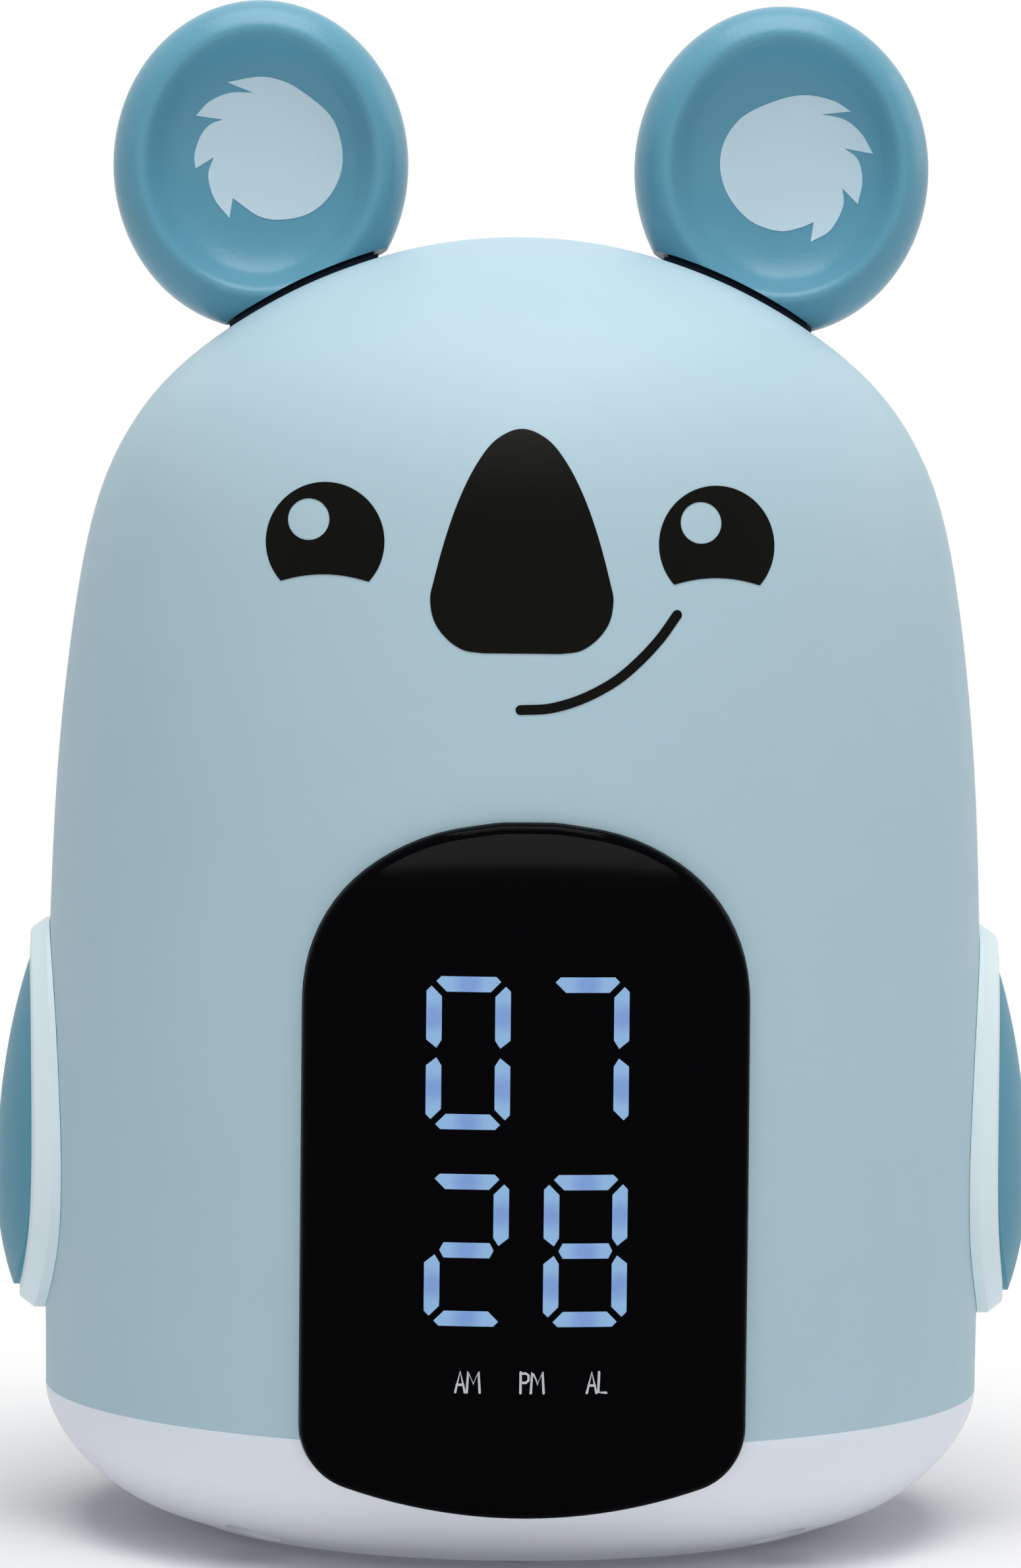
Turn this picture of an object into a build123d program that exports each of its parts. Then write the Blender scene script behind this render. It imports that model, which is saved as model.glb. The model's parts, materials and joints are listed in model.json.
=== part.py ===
from build123d import *
import math
import os

# Bedside alarm clock for children: a round-topped body with two ears, a black
# display window, two side arms and a glowing base.
#
# Millimetres. The table is z = 0, the body's axis is Z, and the front looks
# along -Y. Left and right are those of someone who looks at the front.

os.makedirs("parts", exist_ok=True)

# ---- body shell -------------------------------------------------------------
body_radius = 52.4
body_height = 143.2
seam_height = 15.4
dome_wall = 2.2
# share of the radius, share of the height above the seam
dome_shape = (
    (0.9925, 0.0), (1.0, 0.2), (0.9903, 0.4), (0.974, 0.55), (0.9393, 0.68),
    (0.8876, 0.779), (0.8017, 0.849), (0.649, 0.91), (0.4581, 0.957),
    (0.229, 0.9895), (0.0, 1.0),
)
base_flat_radius = 33.0
base_fullness = 1.744
base_lift = 0.8
base_wall = 2.0
tongue_height = 3.0
tongue_wall = 1.6

# ---- clearances -------------------------------------------------------------
running_gap = 0.07
seat_gap = 0.15
pilot_gap = 0.04
travel_gap = 0.1
recess_gap = 0.1
# how far a cut runs past the face that it opens, and what is left at a blind hole's end
over_cut = 1.0
blind_wall = 1.0

# ---- fasteners --------------------------------------------------------------
large_screw = dict(radius=1.5, length=14.0, head_radius=2.7, head_height=1.8)
medium_screw = dict(radius=1.25, length=5.0, head_radius=2.3, head_height=1.0)
small_screw = dict(radius=1.0, length=6.0, head_radius=1.9, head_height=1.3)
arm_screw = dict(radius=1.0, length=4.0, head_radius=1.9, head_height=1.3)
chassis_screw = dict(radius=1.25, length=9.0, head_radius=2.3, head_height=1.5)
slot_width = 0.6
slot_share = 0.75
boss_wall = 1.6

# ---- underside and battery bay ----------------------------------------------
foot_radius = 4.0
foot_height = 1.4
foot_x = 25.5
foot_y = 12.0
well_ring_radius = 40.0
well_radius = 3.0
well_wall = 1.3
well_web = 2.0
post_foot_height = 11.0
post_height = 19.0
rib_width = 2.0
cell_radius = 5.25
cell_length = 44.5
cell_pitch = 10.9
cell_count = 3
cap_radius = 1.9
cap_height = 1.0
cell_side_gap = 0.3
cell_edge = 0.5
cap_root = 0.2
contact_space = 2.8
tray_wall = 1.8
tray_flange = 3.0
tray_flange_height = 1.5
tray_corner = 6.0
door_thickness = 1.8
door_ledge = 1.2
door_tab_radius = 3.6
door_tab_reach = 3.0
door_boss_height = 6.5
door_corner = 2.0
door_grooves = 2
groove_pitch = 4.0
groove_width = 1.0
groove_depth = 0.4
contact_plate = 0.4
contact_width = 8.0
bay_wire_radius = 0.3
bay_spring_radius = 2.6
bay_spring_turns = 2.5

# ---- night light and chassis ------------------------------------------------
board_thickness = 1.6
light_board_radius = 34.0
light_ring_radius = 31.0
light_angles = (0, 38, 90, 142, 180, 218, 270, 322)
light_size = 3.5
light_height = 1.6
chassis_radius = 35.0
chassis_thickness = 1.6
chassis_screw_x = 12.0
standoff_height = 5.2
standoff_inset = 4.0
main_board_width = 46.0
board_corner = 1.5
processor_size = 10.0
capacitor_radius = 3.15
capacitor_height = 7.7
capacitor_places = ((-13.0, 11.0), (-5.0, 11.0))
crystal_length = 8.0
crystal_width = 3.0
crystal_height = 2.5
crystal_place = (11.0, 4.0)

# ---- display window ---------------------------------------------------------
window_half_width = 23.3
window_bottom = 8.2
window_bottom_rise = 4.2
window_corner = 6.5
window_top = 80.3
window_arch_height = 19.3
window_arch_fullness = 2.2
window_proud = 1.6
window_sunk = 0.8
window_edge = 1.1
adhesive_thickness = 0.3
adhesive_margin = 1.2
adhesive_width = 2.4

# ---- digits -----------------------------------------------------------------
digit_width = 8.7
digit_height = 15.8
digit_pitch = 12.3
digit_row_pitch = 20.4
digit_centre_height = 46.4
stroke_width = 1.6
stroke_gap = 0.48
stroke_nose = 0.52
stroke_blunt = 0.85
stroke_proud = 0.04
stroke_chamber = 4.0
reflector_margin = 2.8
display_board_half_width = 18.0
display_board_bottom = 19.6
display_board_top = 76.0
display_board_face = 43.5
display_screw_inset = 2.8
led_size = 0.8
led_height = 0.7

# ---- ears -------------------------------------------------------------------
ear_x = 29.1
ear_y = 2.0
ear_height = 151.1
ear_half_width = 16.45
ear_half_height = 18.3
ear_front = 6.0
ear_back = 9.0
ear_dish_depth = 4.7
# the dish: share of the radius, share of the dish's depth above its floor
ear_dish_shape = ((0.34, 0.07), (0.56, 0.26), (0.69, 0.6))
ear_crest = 0.79
# the outside: share of the radius, share of the way to the front crest or the back
ear_lip_shape = (0.94, 0.66)
ear_back_shape = ((0.93, 0.56), (0.62, 0.9))
ear_floor_wall = 1.6
ear_gap = 0.8
ear_travel = 0.3
ear_wall = 1.8
ear_parting = 5.0
ear_spigot = 2.0
ear_spigot_step = 1.0
ear_foot_depth = 8.0
ear_ball_near = 0.25
ear_ball_far = 0.8
stem_x = 25.0
stem_y = 3.5
stem_radius = 4.5
guide_wall = 2.3
guide_length = 8.6
clip_radius = 6.4
clip_thickness = 0.9
clip_groove_radius = 3.5
clip_mouth = 5.0
stem_tail = 3.0
nib_radius = 1.5
nib_length = 2.9
ear_spring_radius = 3.9
ear_wire_radius = 0.35
ear_spring_turns = 4.5
ear_spring_length = 8.0
ear_board_length = 24.0
ear_board_width = 12.0
ear_switch_size = 4.4
ear_switch_height = 2.4
ear_post_spacing = 18.4

# ---- arms -------------------------------------------------------------------
arm_bottom = 23.4
arm_widest = 38.0
arm_top = 67.0
arm_half_width = 16.5
arm_proud = 2.6
arm_lean = 1.2
arm_bevel_wall = 1.2
arm_bevel_face = 1.6
arm_edge = 0.5
arm_rim = 2.5
arm_floor = 2.0
pad_proud = 5.3
pad_depth = 16.0
pad_half_width = 20.2
pad_upper = 39.0
pad_lower = 24.8
arm_screw_low = 33.0
arm_screw_high = 50.0

# ---- rear control panel -----------------------------------------------------
panel_half_width = 21.0
panel_bottom = 22.0
panel_top = 100.0
panel_corner = 6.0
panel_sunk = 0.4
panel_thickness = 2.0
panel_ledge = 2.6
panel_ledge_width = 2.0
panel_screw_inset = 4.0
panel_boss_radius = 3.8
panel_lug_radius = 3.0
panel_lug_wall = 1.4
control_board_face = 39.5
control_board_half_width = 19.0
control_board_bottom = 22.6
control_board_top = 68.5
control_post_x = 15.0
control_post_radius = 2.5
control_post_heights = (37.0, 64.5)
guide_end = 46.0
button_radius = 4.0
button_flange_radius = 4.9
button_flange = 1.0
button_guide_wall = 1.2
button_proud = 1.3
button_travel = 0.8
button_mark = 0.3
sign_length = 3.6
sign_width = 0.8
sign_dot_radius = 1.05
button_low_row = 46.5
button_high_row = 58.5
button_low_pitch = 12.0
button_high_pitch = 14.0
tact_size = 6.0
tact_height = 3.5
plunger_radius = 1.7
switch_height = 35.5
knob_width = 3.0
knob_tall = 3.4
knob_travel = 4.0
knob_proud = 1.4
knob_flange = 1.0
knob_flange_margin = 2.6
knob_edge = 0.4
knob_rib = 0.3
knob_rib_length = 2.7
switch_body_height = 4.4
knob_foot = 46.4
knob_roof = 48.6
knob_channel = 14.0
cable_width = 12.0
cable_thickness = 0.4
cable_bend = 3.0
cable_socket_height = 32.0
cable_socket_wall = 1.0
cable_socket_depth = 4.0
cable_drop_inset = 4.0
socket_rise = 3.0
chip_height = 1.5
driver_width = 7.0
driver_length = 10.0
socket_height = 27.6
socket_width = 9.0
socket_tall = 3.3
socket_wall = 0.4
socket_end = 50.0
socket_floor = 3.0
socket_tongue_width = 6.3
socket_tongue = 0.7
socket_tongue_short = 1.0
socket_mouth_gap = 0.3
speaker_height = 81.5
speaker_radius = 14.0
speaker_seat = 43.0
speaker_rim = 1.5
speaker_flange = 1.0
speaker_depth = 6.0
speaker_wall = 0.6
speaker_rim_width = 2.4
cone_wall = 0.4
cone_depth = 3.2
magnet_radius = 7.5
magnet_height = 4.0
clamp_thickness = 1.5
clamp_screw_x = 17.0
clamp_post_radius = 1.8
clamp_lug_radius = 2.4
clamp_overlap = 1.2
grille_hole_radius = 0.8
grille_pitch = 3.2
grille_rings = 3

side_names = {-1: "left", 1: "right"}
reach = 2.0 * body_radius

# ---- what follows from the sizes above --------------------------------------
seam_radius = body_radius * dome_shape[0][0]
dome_rise = body_height - seam_height
bay_floor = base_lift + base_wall
bay_half_width = (cell_count - 1) * cell_pitch / 2 + cell_radius + cell_side_gap
bay_half_length = cell_length / 2 + contact_space
cell_axis_height = bay_floor + cell_side_gap + cell_radius
bay_ceiling = cell_axis_height + cell_radius + cell_side_gap
tray_top = bay_ceiling + tray_wall
light_board_top = tray_top + board_thickness
chassis_top = light_board_top + chassis_thickness
main_board_floor = chassis_top + standoff_height
main_board_top = main_board_floor + board_thickness
door_half_width = bay_half_width + door_ledge
door_half_length = bay_half_length + door_ledge
door_screw_seat = base_lift + medium_screw["head_height"] + travel_gap
door_screw_y = door_half_length + door_tab_reach - door_ledge
chassis_screw_y = bay_half_length + tray_wall + chassis_screw["radius"] + boss_wall / 2
display_board_back = display_board_face - board_thickness
display_middle = (display_board_bottom + display_board_top) / 2
digit_rows = (digit_centre_height + digit_row_pitch / 2, digit_centre_height - digit_row_pitch / 2)
digit_columns = (-digit_pitch / 2, digit_pitch / 2)
shown_digits = ((0, 7), (2, 8))
lit_strokes = {0: "abcdef", 2: "abged", 7: "abc", 8: "abcdefg"}
tact_face = control_board_face + tact_height
cap_face = guide_end - travel_gap - button_flange
buttons = {
    "button_set": (-button_low_pitch, button_low_row, "dot"),
    "button_minus": (0.0, button_low_row, "minus"),
    "button_plus": (button_low_pitch, button_low_row, "plus"),
    "button_alarm": (-button_high_pitch / 2, button_high_row, "ring"),
    "button_light": (button_high_pitch / 2, button_high_row, "bar"),
}
clamp_face = speaker_seat - speaker_flange
ear_floor_back = ear_dish_depth - ear_front + ear_floor_wall
arm_screw_seat = body_radius - dome_wall - travel_gap
panel_screw_x = panel_half_width - panel_screw_inset
cable_drop_y = main_board_width / 2 - cable_drop_inset


# ---- basic solids -----------------------------------------------------------
def prism_x(sketch, x_low, x_high):
    """A sketch in (y, z), carried from x_low to x_high."""
    return Pos(x_low, 0, 0) * extrude(Plane.YZ * sketch, amount=x_high - x_low)


def prism_y(sketch, y_low, y_high):
    """A sketch in (x, z), carried from y_low to y_high."""
    return Pos(0, y_high, 0) * extrude(Plane.XZ * sketch, amount=y_high - y_low)


def prism_z(sketch, z_low, z_high):
    """A sketch in (x, y), carried from z_low to z_high."""
    return Pos(0, 0, z_low) * extrude(sketch, amount=z_high - z_low)


def rod_y(x, z, radius, y_low, y_high):
    return prism_y(Pos(x, z) * Circle(radius), y_low, y_high)


def rod_z(x, y, radius, z_low, z_high):
    return prism_z(Pos(x, y) * Circle(radius), z_low, z_high)


def group(solids):
    """Separate solids that share one node."""
    return Compound(children=[solid.solid() for solid in solids])


def screw(radius, length, head_radius, head_height):
    """A slotted pan-head screw: the head sits on z = 0 and the shank points down."""
    shank = rod_z(0, 0, radius, -length, 0)
    head = rod_z(0, 0, head_radius, 0, head_height)
    head = fillet(head.edges().sort_by(Axis.Z)[-1], head_height / 3)
    slot = prism_z(Rectangle(2 * head_radius * slot_share, slot_width), head_height / 2, head_height)
    return shank + head - slot


def placed(part, origin, direction):
    """The part with its own +Z along direction, at origin."""
    return Plane(origin=origin, z_dir=direction).location * part


# ---- body of revolution -----------------------------------------------------
def offset_curve(curve, inset, steps=14):
    """The curve moved inwards, square to itself; both ends keep their direction."""
    points = []
    for step in range(steps + 1):
        spot = curve @ (step / steps)
        along = curve % (step / steps)
        points.append((spot.X - inset * along.Z, 0, spot.Z + inset * along.X))
    return Spline(*points, tangents=(curve % 0, curve % 1))


def revolved(curve, inside_height):
    """The solid between a curve that ends on the axis and a flat end."""
    start = curve @ 0
    end = curve @ 1
    corner = (0, 0, inside_height)
    outline = [curve, Line(end, corner), Line(corner, start)]
    return revolve(make_face(outline), Axis.Z)


dome_points = [
    (body_radius * across, 0, seam_height + dome_rise * up) for across, up in dome_shape
]
dome_curve = Spline(*dome_points, tangents=((0, 0, 1), (-1, 0, 0)))


def dome_solid(inset):
    return revolved(offset_curve(dome_curve, inset), seam_height)


def point_on_dome(inset, is_before):
    """Where the dome's outline, moved in by inset, stops being before a mark."""
    curve = offset_curve(dome_curve, inset)
    low, high = 0.0, 1.0
    for _ in range(30):
        middle = (low + high) / 2
        if is_before(curve @ middle):
            low = middle
        else:
            high = middle
    return curve @ low


def height_on_dome(radius, inset=0.0):
    return point_on_dome(inset, lambda point: point.X > radius).Z


def radius_on_dome(height, inset=0.0):
    return point_on_dome(inset, lambda point: point.Z < height).X


def bowl_point(turn):
    across = math.cos(turn) ** (2 / base_fullness)
    down = math.sin(turn) ** (2 / base_fullness)
    radius = base_flat_radius + (seam_radius - base_flat_radius) * across
    return (radius, 0, base_lift + (seam_height - base_lift) * (1 - down))


bowl_turns = [math.radians(turn) for turn in (0, 15, 30, 45, 60, 75, 90)]
bowl_curve = Spline(*[bowl_point(turn) for turn in bowl_turns], tangents=((0, 0, -1), (-1, 0, 0)))


def bowl_solid(inset):
    """The base's outer form, or with an inset the space inside its wall."""
    curve = offset_curve(bowl_curve, -inset) if inset else bowl_curve
    rim = curve @ 0
    flat = curve @ 1
    outline = [
        curve,
        Line(flat, (0, 0, flat.Z)),
        Line((0, 0, flat.Z), (0, 0, rim.Z)),
        Line((0, 0, rim.Z), rim),
    ]
    return revolve(make_face(outline), Axis.Z)


def at_corners(x, y):
    return [(side * x, end * y) for side in (-1, 1) for end in (-1, 1)]


def well_places():
    spread = well_ring_radius / math.sqrt(2)
    return at_corners(spread, spread)


# ---- window outline ---------------------------------------------------------
def window_outline(inset=0.0):
    """The display window from the front: straight sides, arched top, bowed foot."""
    half = window_half_width - inset
    spring_line = window_top - window_arch_height
    arch_height = window_arch_height - inset
    steps = [math.radians(turn) for turn in (0, 15, 30, 45, 60, 72, 82, 90)]
    quarter = [
        (
            half * math.cos(turn) ** (2 / window_arch_fullness),
            spring_line + arch_height * math.sin(turn) ** (2 / window_arch_fullness),
        )
        for turn in steps
    ]
    right = Spline(*quarter, tangents=((0, 1), (-1, 0)))
    left = Spline(*[(-x, z) for x, z in quarter], tangents=((0, 1), (1, 0)))
    foot_side = window_bottom + window_bottom_rise + inset
    foot = ThreePointArc((-half, foot_side), (0, window_bottom + inset), (half, foot_side))
    outline = [
        right,
        left,
        foot,
        Line((half, foot_side), (half, spring_line)),
        Line((-half, foot_side), (-half, spring_line)),
    ]
    face = make_face(outline)
    lowest = [corner for corner in face.vertices() if abs(corner.Y - foot_side) < seat_gap]
    return fillet(lowest, window_corner)


def window_block(inset=0.0):
    return prism_y(window_outline(inset), -reach, 0)


def window_face(proud):
    """Everything behind the window's front face: the dome's line, carried straight down."""
    curve = offset_curve(dome_curve, -proud)
    shares = (0.0, 0.15, 0.3, 0.45, 0.6, 0.75, 0.9)
    foot = (seam_radius + proud, 0, 0)
    line = Spline(foot, *[curve @ share for share in shares], curve @ 1,
                  tangents=((0, 0, 1), (-1, 0, 0)))
    return revolved(line, 0)


def window_seat(depth, gap):
    """The body behind the window, sunk by depth, with the base's wall grown by gap."""
    lower = Cylinder(
        seam_radius - depth, seam_height, align=(Align.CENTER, Align.CENTER, Align.MIN)
    )
    return dome_solid(depth) + (bowl_solid(-gap) & lower)


def window_recess():
    """The shallow seat that the window and its tape lie in."""
    depth = window_sunk + adhesive_thickness + 2 * pilot_gap
    return window_block(-recess_gap) - window_seat(depth, 0)


def reflector_sketch(margin):
    width = digit_pitch + digit_width + 2 * margin
    height = digit_row_pitch + digit_height + 2 * margin
    return Pos(0, digit_centre_height) * RectangleRounded(width, height, margin)


# ---- shells -----------------------------------------------------------------
def panel_outline(grow=0.0):
    middle = (panel_bottom + panel_top) / 2
    width = 2 * (panel_half_width + grow)
    height = panel_top - panel_bottom + 2 * grow
    return Pos(0, middle) * RectangleRounded(width, height, panel_corner + grow)


def panel_screw_places():
    """Each panel screw's x, z and the y of its head's seat, sunk at the panel's outer side."""
    places = []
    edge = panel_screw_x + medium_screw["head_radius"]
    for z in (panel_bottom + panel_screw_inset, panel_top - panel_screw_inset):
        face = math.sqrt(radius_on_dome(z, panel_sunk) ** 2 - edge ** 2)
        seat = face - medium_screw["head_height"] - travel_gap
        places += [(side * panel_screw_x, z, seat) for side in side_names]
    return places


def display_screw_places():
    x = display_board_half_width - display_screw_inset
    return [
        (side * x, z)
        for side in (-1, 1)
        for z in (display_board_bottom + display_screw_inset, display_board_top - display_screw_inset)
    ]


guide_top = height_on_dome(math.hypot(stem_x, stem_y), dome_wall)
guide_foot = guide_top - guide_length
clip_top = guide_foot - travel_gap
clip_foot = clip_top - clip_thickness
stem_foot = clip_foot - stem_tail
ear_board_top = stem_foot - ear_spring_length
ear_board_foot = ear_board_top - board_thickness


def dome_bosses():
    """Guides, posts and ledges on the inside of the dome."""
    inside = dome_solid(dome_wall / 2)
    pieces = []
    for side in (-1, 1):
        x = side * stem_x
        pieces.append(rod_z(x, stem_y, stem_radius + guide_wall, guide_foot, body_height))
        for end in (-1, 1):
            post_x = x + end * ear_post_spacing / 2
            radius = small_screw["radius"] + boss_wall
            pieces.append(rod_z(post_x, stem_y, radius, ear_board_top, body_height))
    for x, z in display_screw_places():
        pieces.append(rod_y(x, z, small_screw["radius"] + boss_wall, -reach, -display_board_face))
    ledge = panel_ledge_frame()
    trimmed = [piece & inside for piece in pieces]
    posts = []
    for x, y in well_places():
        post = rod_z(x, y, large_screw["radius"] + boss_wall, post_foot_height,
                     post_foot_height + post_height)
        rib_foot = seam_height + tongue_height + seat_gap
        rib = Pos(well_ring_radius, 0) * Rectangle(
            2 * (body_radius - well_ring_radius), rib_width
        )
        turned = Rot(0, 0, math.degrees(math.atan2(y, x))) * prism_z(
            rib, rib_foot, post_foot_height + post_height
        )
        turned = turned & inside & Rot(0, 0, math.degrees(math.atan2(y, x))) * outer_half()
        posts += [post, turned]
    return trimmed + [ledge] + posts


def outer_half():
    """Space further out than the screw posts' axis, on the +X side."""
    return Pos(well_ring_radius, 0, 0) * Box(
        reach, reach, 2 * reach, align=(Align.MIN, Align.CENTER, Align.CENTER)
    )


def panel_ledge_frame():
    """The frame inside the rear opening that the control panel rests on."""
    band = dome_solid(dome_wall / 2) - dome_solid(panel_sunk + panel_thickness + panel_ledge)
    frame = panel_outline(panel_ledge_width) - panel_outline(-panel_ledge_width)
    return band & prism_y(frame, 0, reach)


def make_dome_shell():
    shell = dome_solid(0) - dome_solid(dome_wall)
    for piece in dome_bosses():
        shell += piece
    shell -= window_recess()
    shell -= prism_y(reflector_sketch(reflector_margin + seat_gap), -reach, 0)
    seat_depth = panel_sunk + panel_thickness + pilot_gap
    shell -= prism_y(panel_outline(seat_gap), 0, reach) - dome_solid(seat_depth)
    shell -= prism_y(panel_outline(-panel_ledge_width), 0, reach)
    for x, z, seat in panel_screw_places():
        lug_face = seat - panel_lug_wall - pilot_gap
        tip = seat - medium_screw["length"] - pilot_gap
        shell -= rod_y(x, z, panel_lug_radius + seat_gap, lug_face, reach)
        shell += rod_y(x, z, panel_boss_radius, tip - blind_wall, lug_face) & dome_solid(seat_depth)
        shell -= rod_y(x, z, medium_screw["radius"] + pilot_gap, tip, reach)
    for side in (-1, 1):
        x = side * stem_x
        shell -= rod_z(x, stem_y, stem_radius + running_gap, guide_foot - over_cut, body_height)
        for end in (-1, 1):
            post_x = x + end * ear_post_spacing / 2
            shell -= rod_z(post_x, stem_y, small_screw["radius"] + pilot_gap,
                           ear_board_foot, ear_board_foot + small_screw["length"] + pilot_gap)
        for z in (arm_screw_low, arm_screw_high):
            shell -= side_block(Pos(0, z) * Circle(arm_screw["radius"] + seat_gap), side)
    for x, z in display_screw_places():
        shell -= rod_y(x, z, small_screw["radius"] + pilot_gap,
                       -display_board_face - small_screw["length"] + board_thickness,
                       -display_board_back)
    for x, y in well_places():
        top = post_foot_height - well_web + large_screw["length"] + blind_wall
        shell -= rod_z(x, y, large_screw["radius"] + pilot_gap, 0, top)
    return shell


def make_base_diffuser():
    bowl = bowl_solid(0) - bowl_solid(base_wall)
    inner = seam_radius - dome_wall - seat_gap - tongue_wall
    tongue = Circle(inner + tongue_wall) - Circle(inner)
    collar = Circle(seam_radius - base_wall + seat_gap) - Circle(inner)
    bowl += prism_z(tongue, seam_height - tongue_height, seam_height + tongue_height)
    bowl += prism_z(collar, seam_height - 2 * tongue_height, seam_height) & bowl_solid(0)
    for x, y in well_places():
        bowl += rod_z(x, y, well_radius + well_wall, 0, post_foot_height) & bowl_solid(0)
    for x, y in well_places():
        bowl -= rod_z(x, y, well_radius, 0, post_foot_height - well_web)
        bowl -= rod_z(x, y, large_screw["radius"] + seat_gap, 0, post_foot_height + over_cut)
    bowl -= prism_z(door_sketch(seat_gap), 0, bay_floor)
    for x, y in at_corners(foot_x, foot_y):
        bowl -= rod_z(x, y, foot_radius + pilot_gap, 0, foot_height)
    return bowl - window_recess()


def door_sketch(grow=0.0):
    plate = RectangleRounded(2 * (door_half_width + grow), 2 * (door_half_length + grow), door_corner)
    for end in (-1, 1):
        tab = Pos(0, end * door_screw_y) * Circle(door_tab_radius + grow)
        plate += tab
    return plate


def make_battery_door():
    """Flush cover with finger ridges and two sunk screw holes."""
    door = prism_z(door_sketch(), base_lift, base_lift + door_thickness)
    for end in (-1, 1):
        y = end * door_screw_y
        door -= rod_z(0, y, medium_screw["radius"] + pilot_gap, 0, bay_floor)
        door -= rod_z(0, y, medium_screw["head_radius"] + seat_gap, 0, door_screw_seat)
    for line in range(-door_grooves, door_grooves + 1):
        groove = Pos(0, line * groove_pitch) * Rectangle(door_half_width, groove_width)
        door -= prism_z(groove, base_lift, base_lift + groove_depth)
    return door


def make_battery_tray():
    half_width = bay_half_width + tray_wall
    half_length = bay_half_length + tray_wall
    body = prism_z(Rectangle(2 * half_width, 2 * half_length), bay_floor, tray_top)
    flange = RectangleRounded(
        2 * (half_width + tray_flange), 2 * (half_length + tray_flange), tray_corner
    )
    body += prism_z(flange, bay_floor, bay_floor + tray_flange_height)
    for end in (-1, 1):
        boss = medium_screw["radius"] + boss_wall
        body += rod_z(0, end * door_screw_y, boss, bay_floor, bay_floor + door_boss_height)
    for x, y in at_corners(chassis_screw_x, chassis_screw_y):
        body += rod_z(x, y, chassis_screw["radius"] + boss_wall,
                      bay_floor + tray_flange_height / 2, tray_top)
    body -= prism_z(Rectangle(2 * bay_half_width, 2 * bay_half_length), 0, bay_ceiling)
    hole = medium_screw["radius"] + pilot_gap
    for end in (-1, 1):
        tip = door_screw_seat + medium_screw["length"]
        body -= rod_z(0, end * door_screw_y, hole, 0, tip + pilot_gap)
    for x, y in at_corners(chassis_screw_x, chassis_screw_y):
        body -= rod_z(x, y, chassis_screw["radius"] + pilot_gap,
                      chassis_top - chassis_screw["length"] - pilot_gap, tray_top)
    return body


def cell_places():
    first = -(cell_count - 1) / 2
    return [(first + index) * cell_pitch for index in range(cell_count)]


def make_cell(x, facing):
    """One dry cell along Y, its cap towards facing."""
    half = cell_length / 2
    can = rod_y(x, cell_axis_height, cell_radius, -half, half - cap_height)
    can = fillet(can.edges().filter_by(GeomType.CIRCLE), cell_edge)
    cap = rod_y(x, cell_axis_height, cap_radius, half - cap_height - cap_root, half)
    cell = can + cap
    return cell if facing > 0 else mirror(cell, about=Plane.XZ)


def make_contacts():
    """A flat plate at each cell's cap and a coil spring at its other end."""
    solids = []
    for index, x in enumerate(cell_places()):
        facing = 1 if index % 2 == 0 else -1
        plate = Pos(x, cell_axis_height) * Rectangle(contact_width, contact_width)
        wall = bay_half_length
        for end in (facing, -facing):
            low, high = sorted((end * wall, end * (wall - contact_plate)))
            solids.append(prism_y(plate, low, high))
        free = contact_space - contact_plate
        coil = coil_spring(bay_spring_radius, bay_wire_radius, free, bay_spring_turns)
        start = (x, -facing * (wall - contact_plate), cell_axis_height)
        solids.append(placed(coil, start, (0, facing, 0)))
    return solids


def coil_spring(radius, wire_radius, length, turns):
    """A coil that stands on z = 0, its ends just clear of both seats."""
    rise = length - 2 * wire_radius - 2 * pilot_gap
    path = Helix(pitch=rise / turns, height=rise, radius=radius)
    start = Plane(origin=path @ 0, z_dir=path % 0)
    wire = sweep(start * Circle(wire_radius), path=path)
    return Pos(0, 0, wire_radius + pilot_gap) * wire


# ---- night light, chassis and main board ------------------------------------
def make_light_board():
    board = prism_z(Circle(light_board_radius), tray_top, light_board_top)
    for x, y in at_corners(chassis_screw_x, chassis_screw_y):
        board -= rod_z(x, y, chassis_screw["radius"] + seat_gap, 0, reach)
    return board


def make_night_lights():
    solids = []
    for turn in light_angles:
        lamp = Pos(light_ring_radius, 0) * Rectangle(light_size, light_size)
        solid = prism_z(lamp, tray_top - light_height, tray_top)
        solids.append(Rot(0, 0, turn) * solid)
    return solids


def main_board_corners():
    return at_corners(main_board_width / 2 - standoff_inset, main_board_width / 2 - standoff_inset)


def make_chassis():
    plate = prism_z(Circle(chassis_radius), light_board_top, chassis_top)
    for x, y in main_board_corners():
        plate += rod_z(x, y, small_screw["radius"] + boss_wall, light_board_top, main_board_floor)
    for x, y in at_corners(chassis_screw_x, chassis_screw_y):
        plate -= rod_z(x, y, chassis_screw["radius"] + seat_gap, 0, reach)
    for x, y in main_board_corners():
        plate -= rod_z(x, y, small_screw["radius"] + pilot_gap,
                       main_board_top - small_screw["length"], reach)
    return plate


def make_main_board():
    board = prism_z(
        RectangleRounded(main_board_width, main_board_width, board_corner),
        main_board_floor, main_board_top,
    )
    for x, y in main_board_corners():
        board -= rod_z(x, y, small_screw["radius"] + seat_gap, 0, reach)
    return board


def make_board_parts():
    """Processor, two capacitors, crystal and two cable sockets on the main board."""
    base = main_board_top
    chip = prism_z(Rectangle(processor_size, processor_size), base, base + chip_height)
    caps = [
        rod_z(x, y, capacitor_radius, base, base + capacitor_height) for x, y in capacitor_places
    ]
    can = Pos(*crystal_place) * SlotOverall(crystal_length, crystal_width)
    crystal = prism_z(can, base, base + crystal_height)
    sockets = [
        prism_z(Pos(0, end * cable_drop_y) * cable_socket(), base, base + socket_rise)
        for end in (-1, 1)
    ]
    return [chip, crystal] + caps + sockets


def cable_socket():
    return Rectangle(cable_width + 2 * cable_socket_wall, cable_socket_depth)


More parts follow.
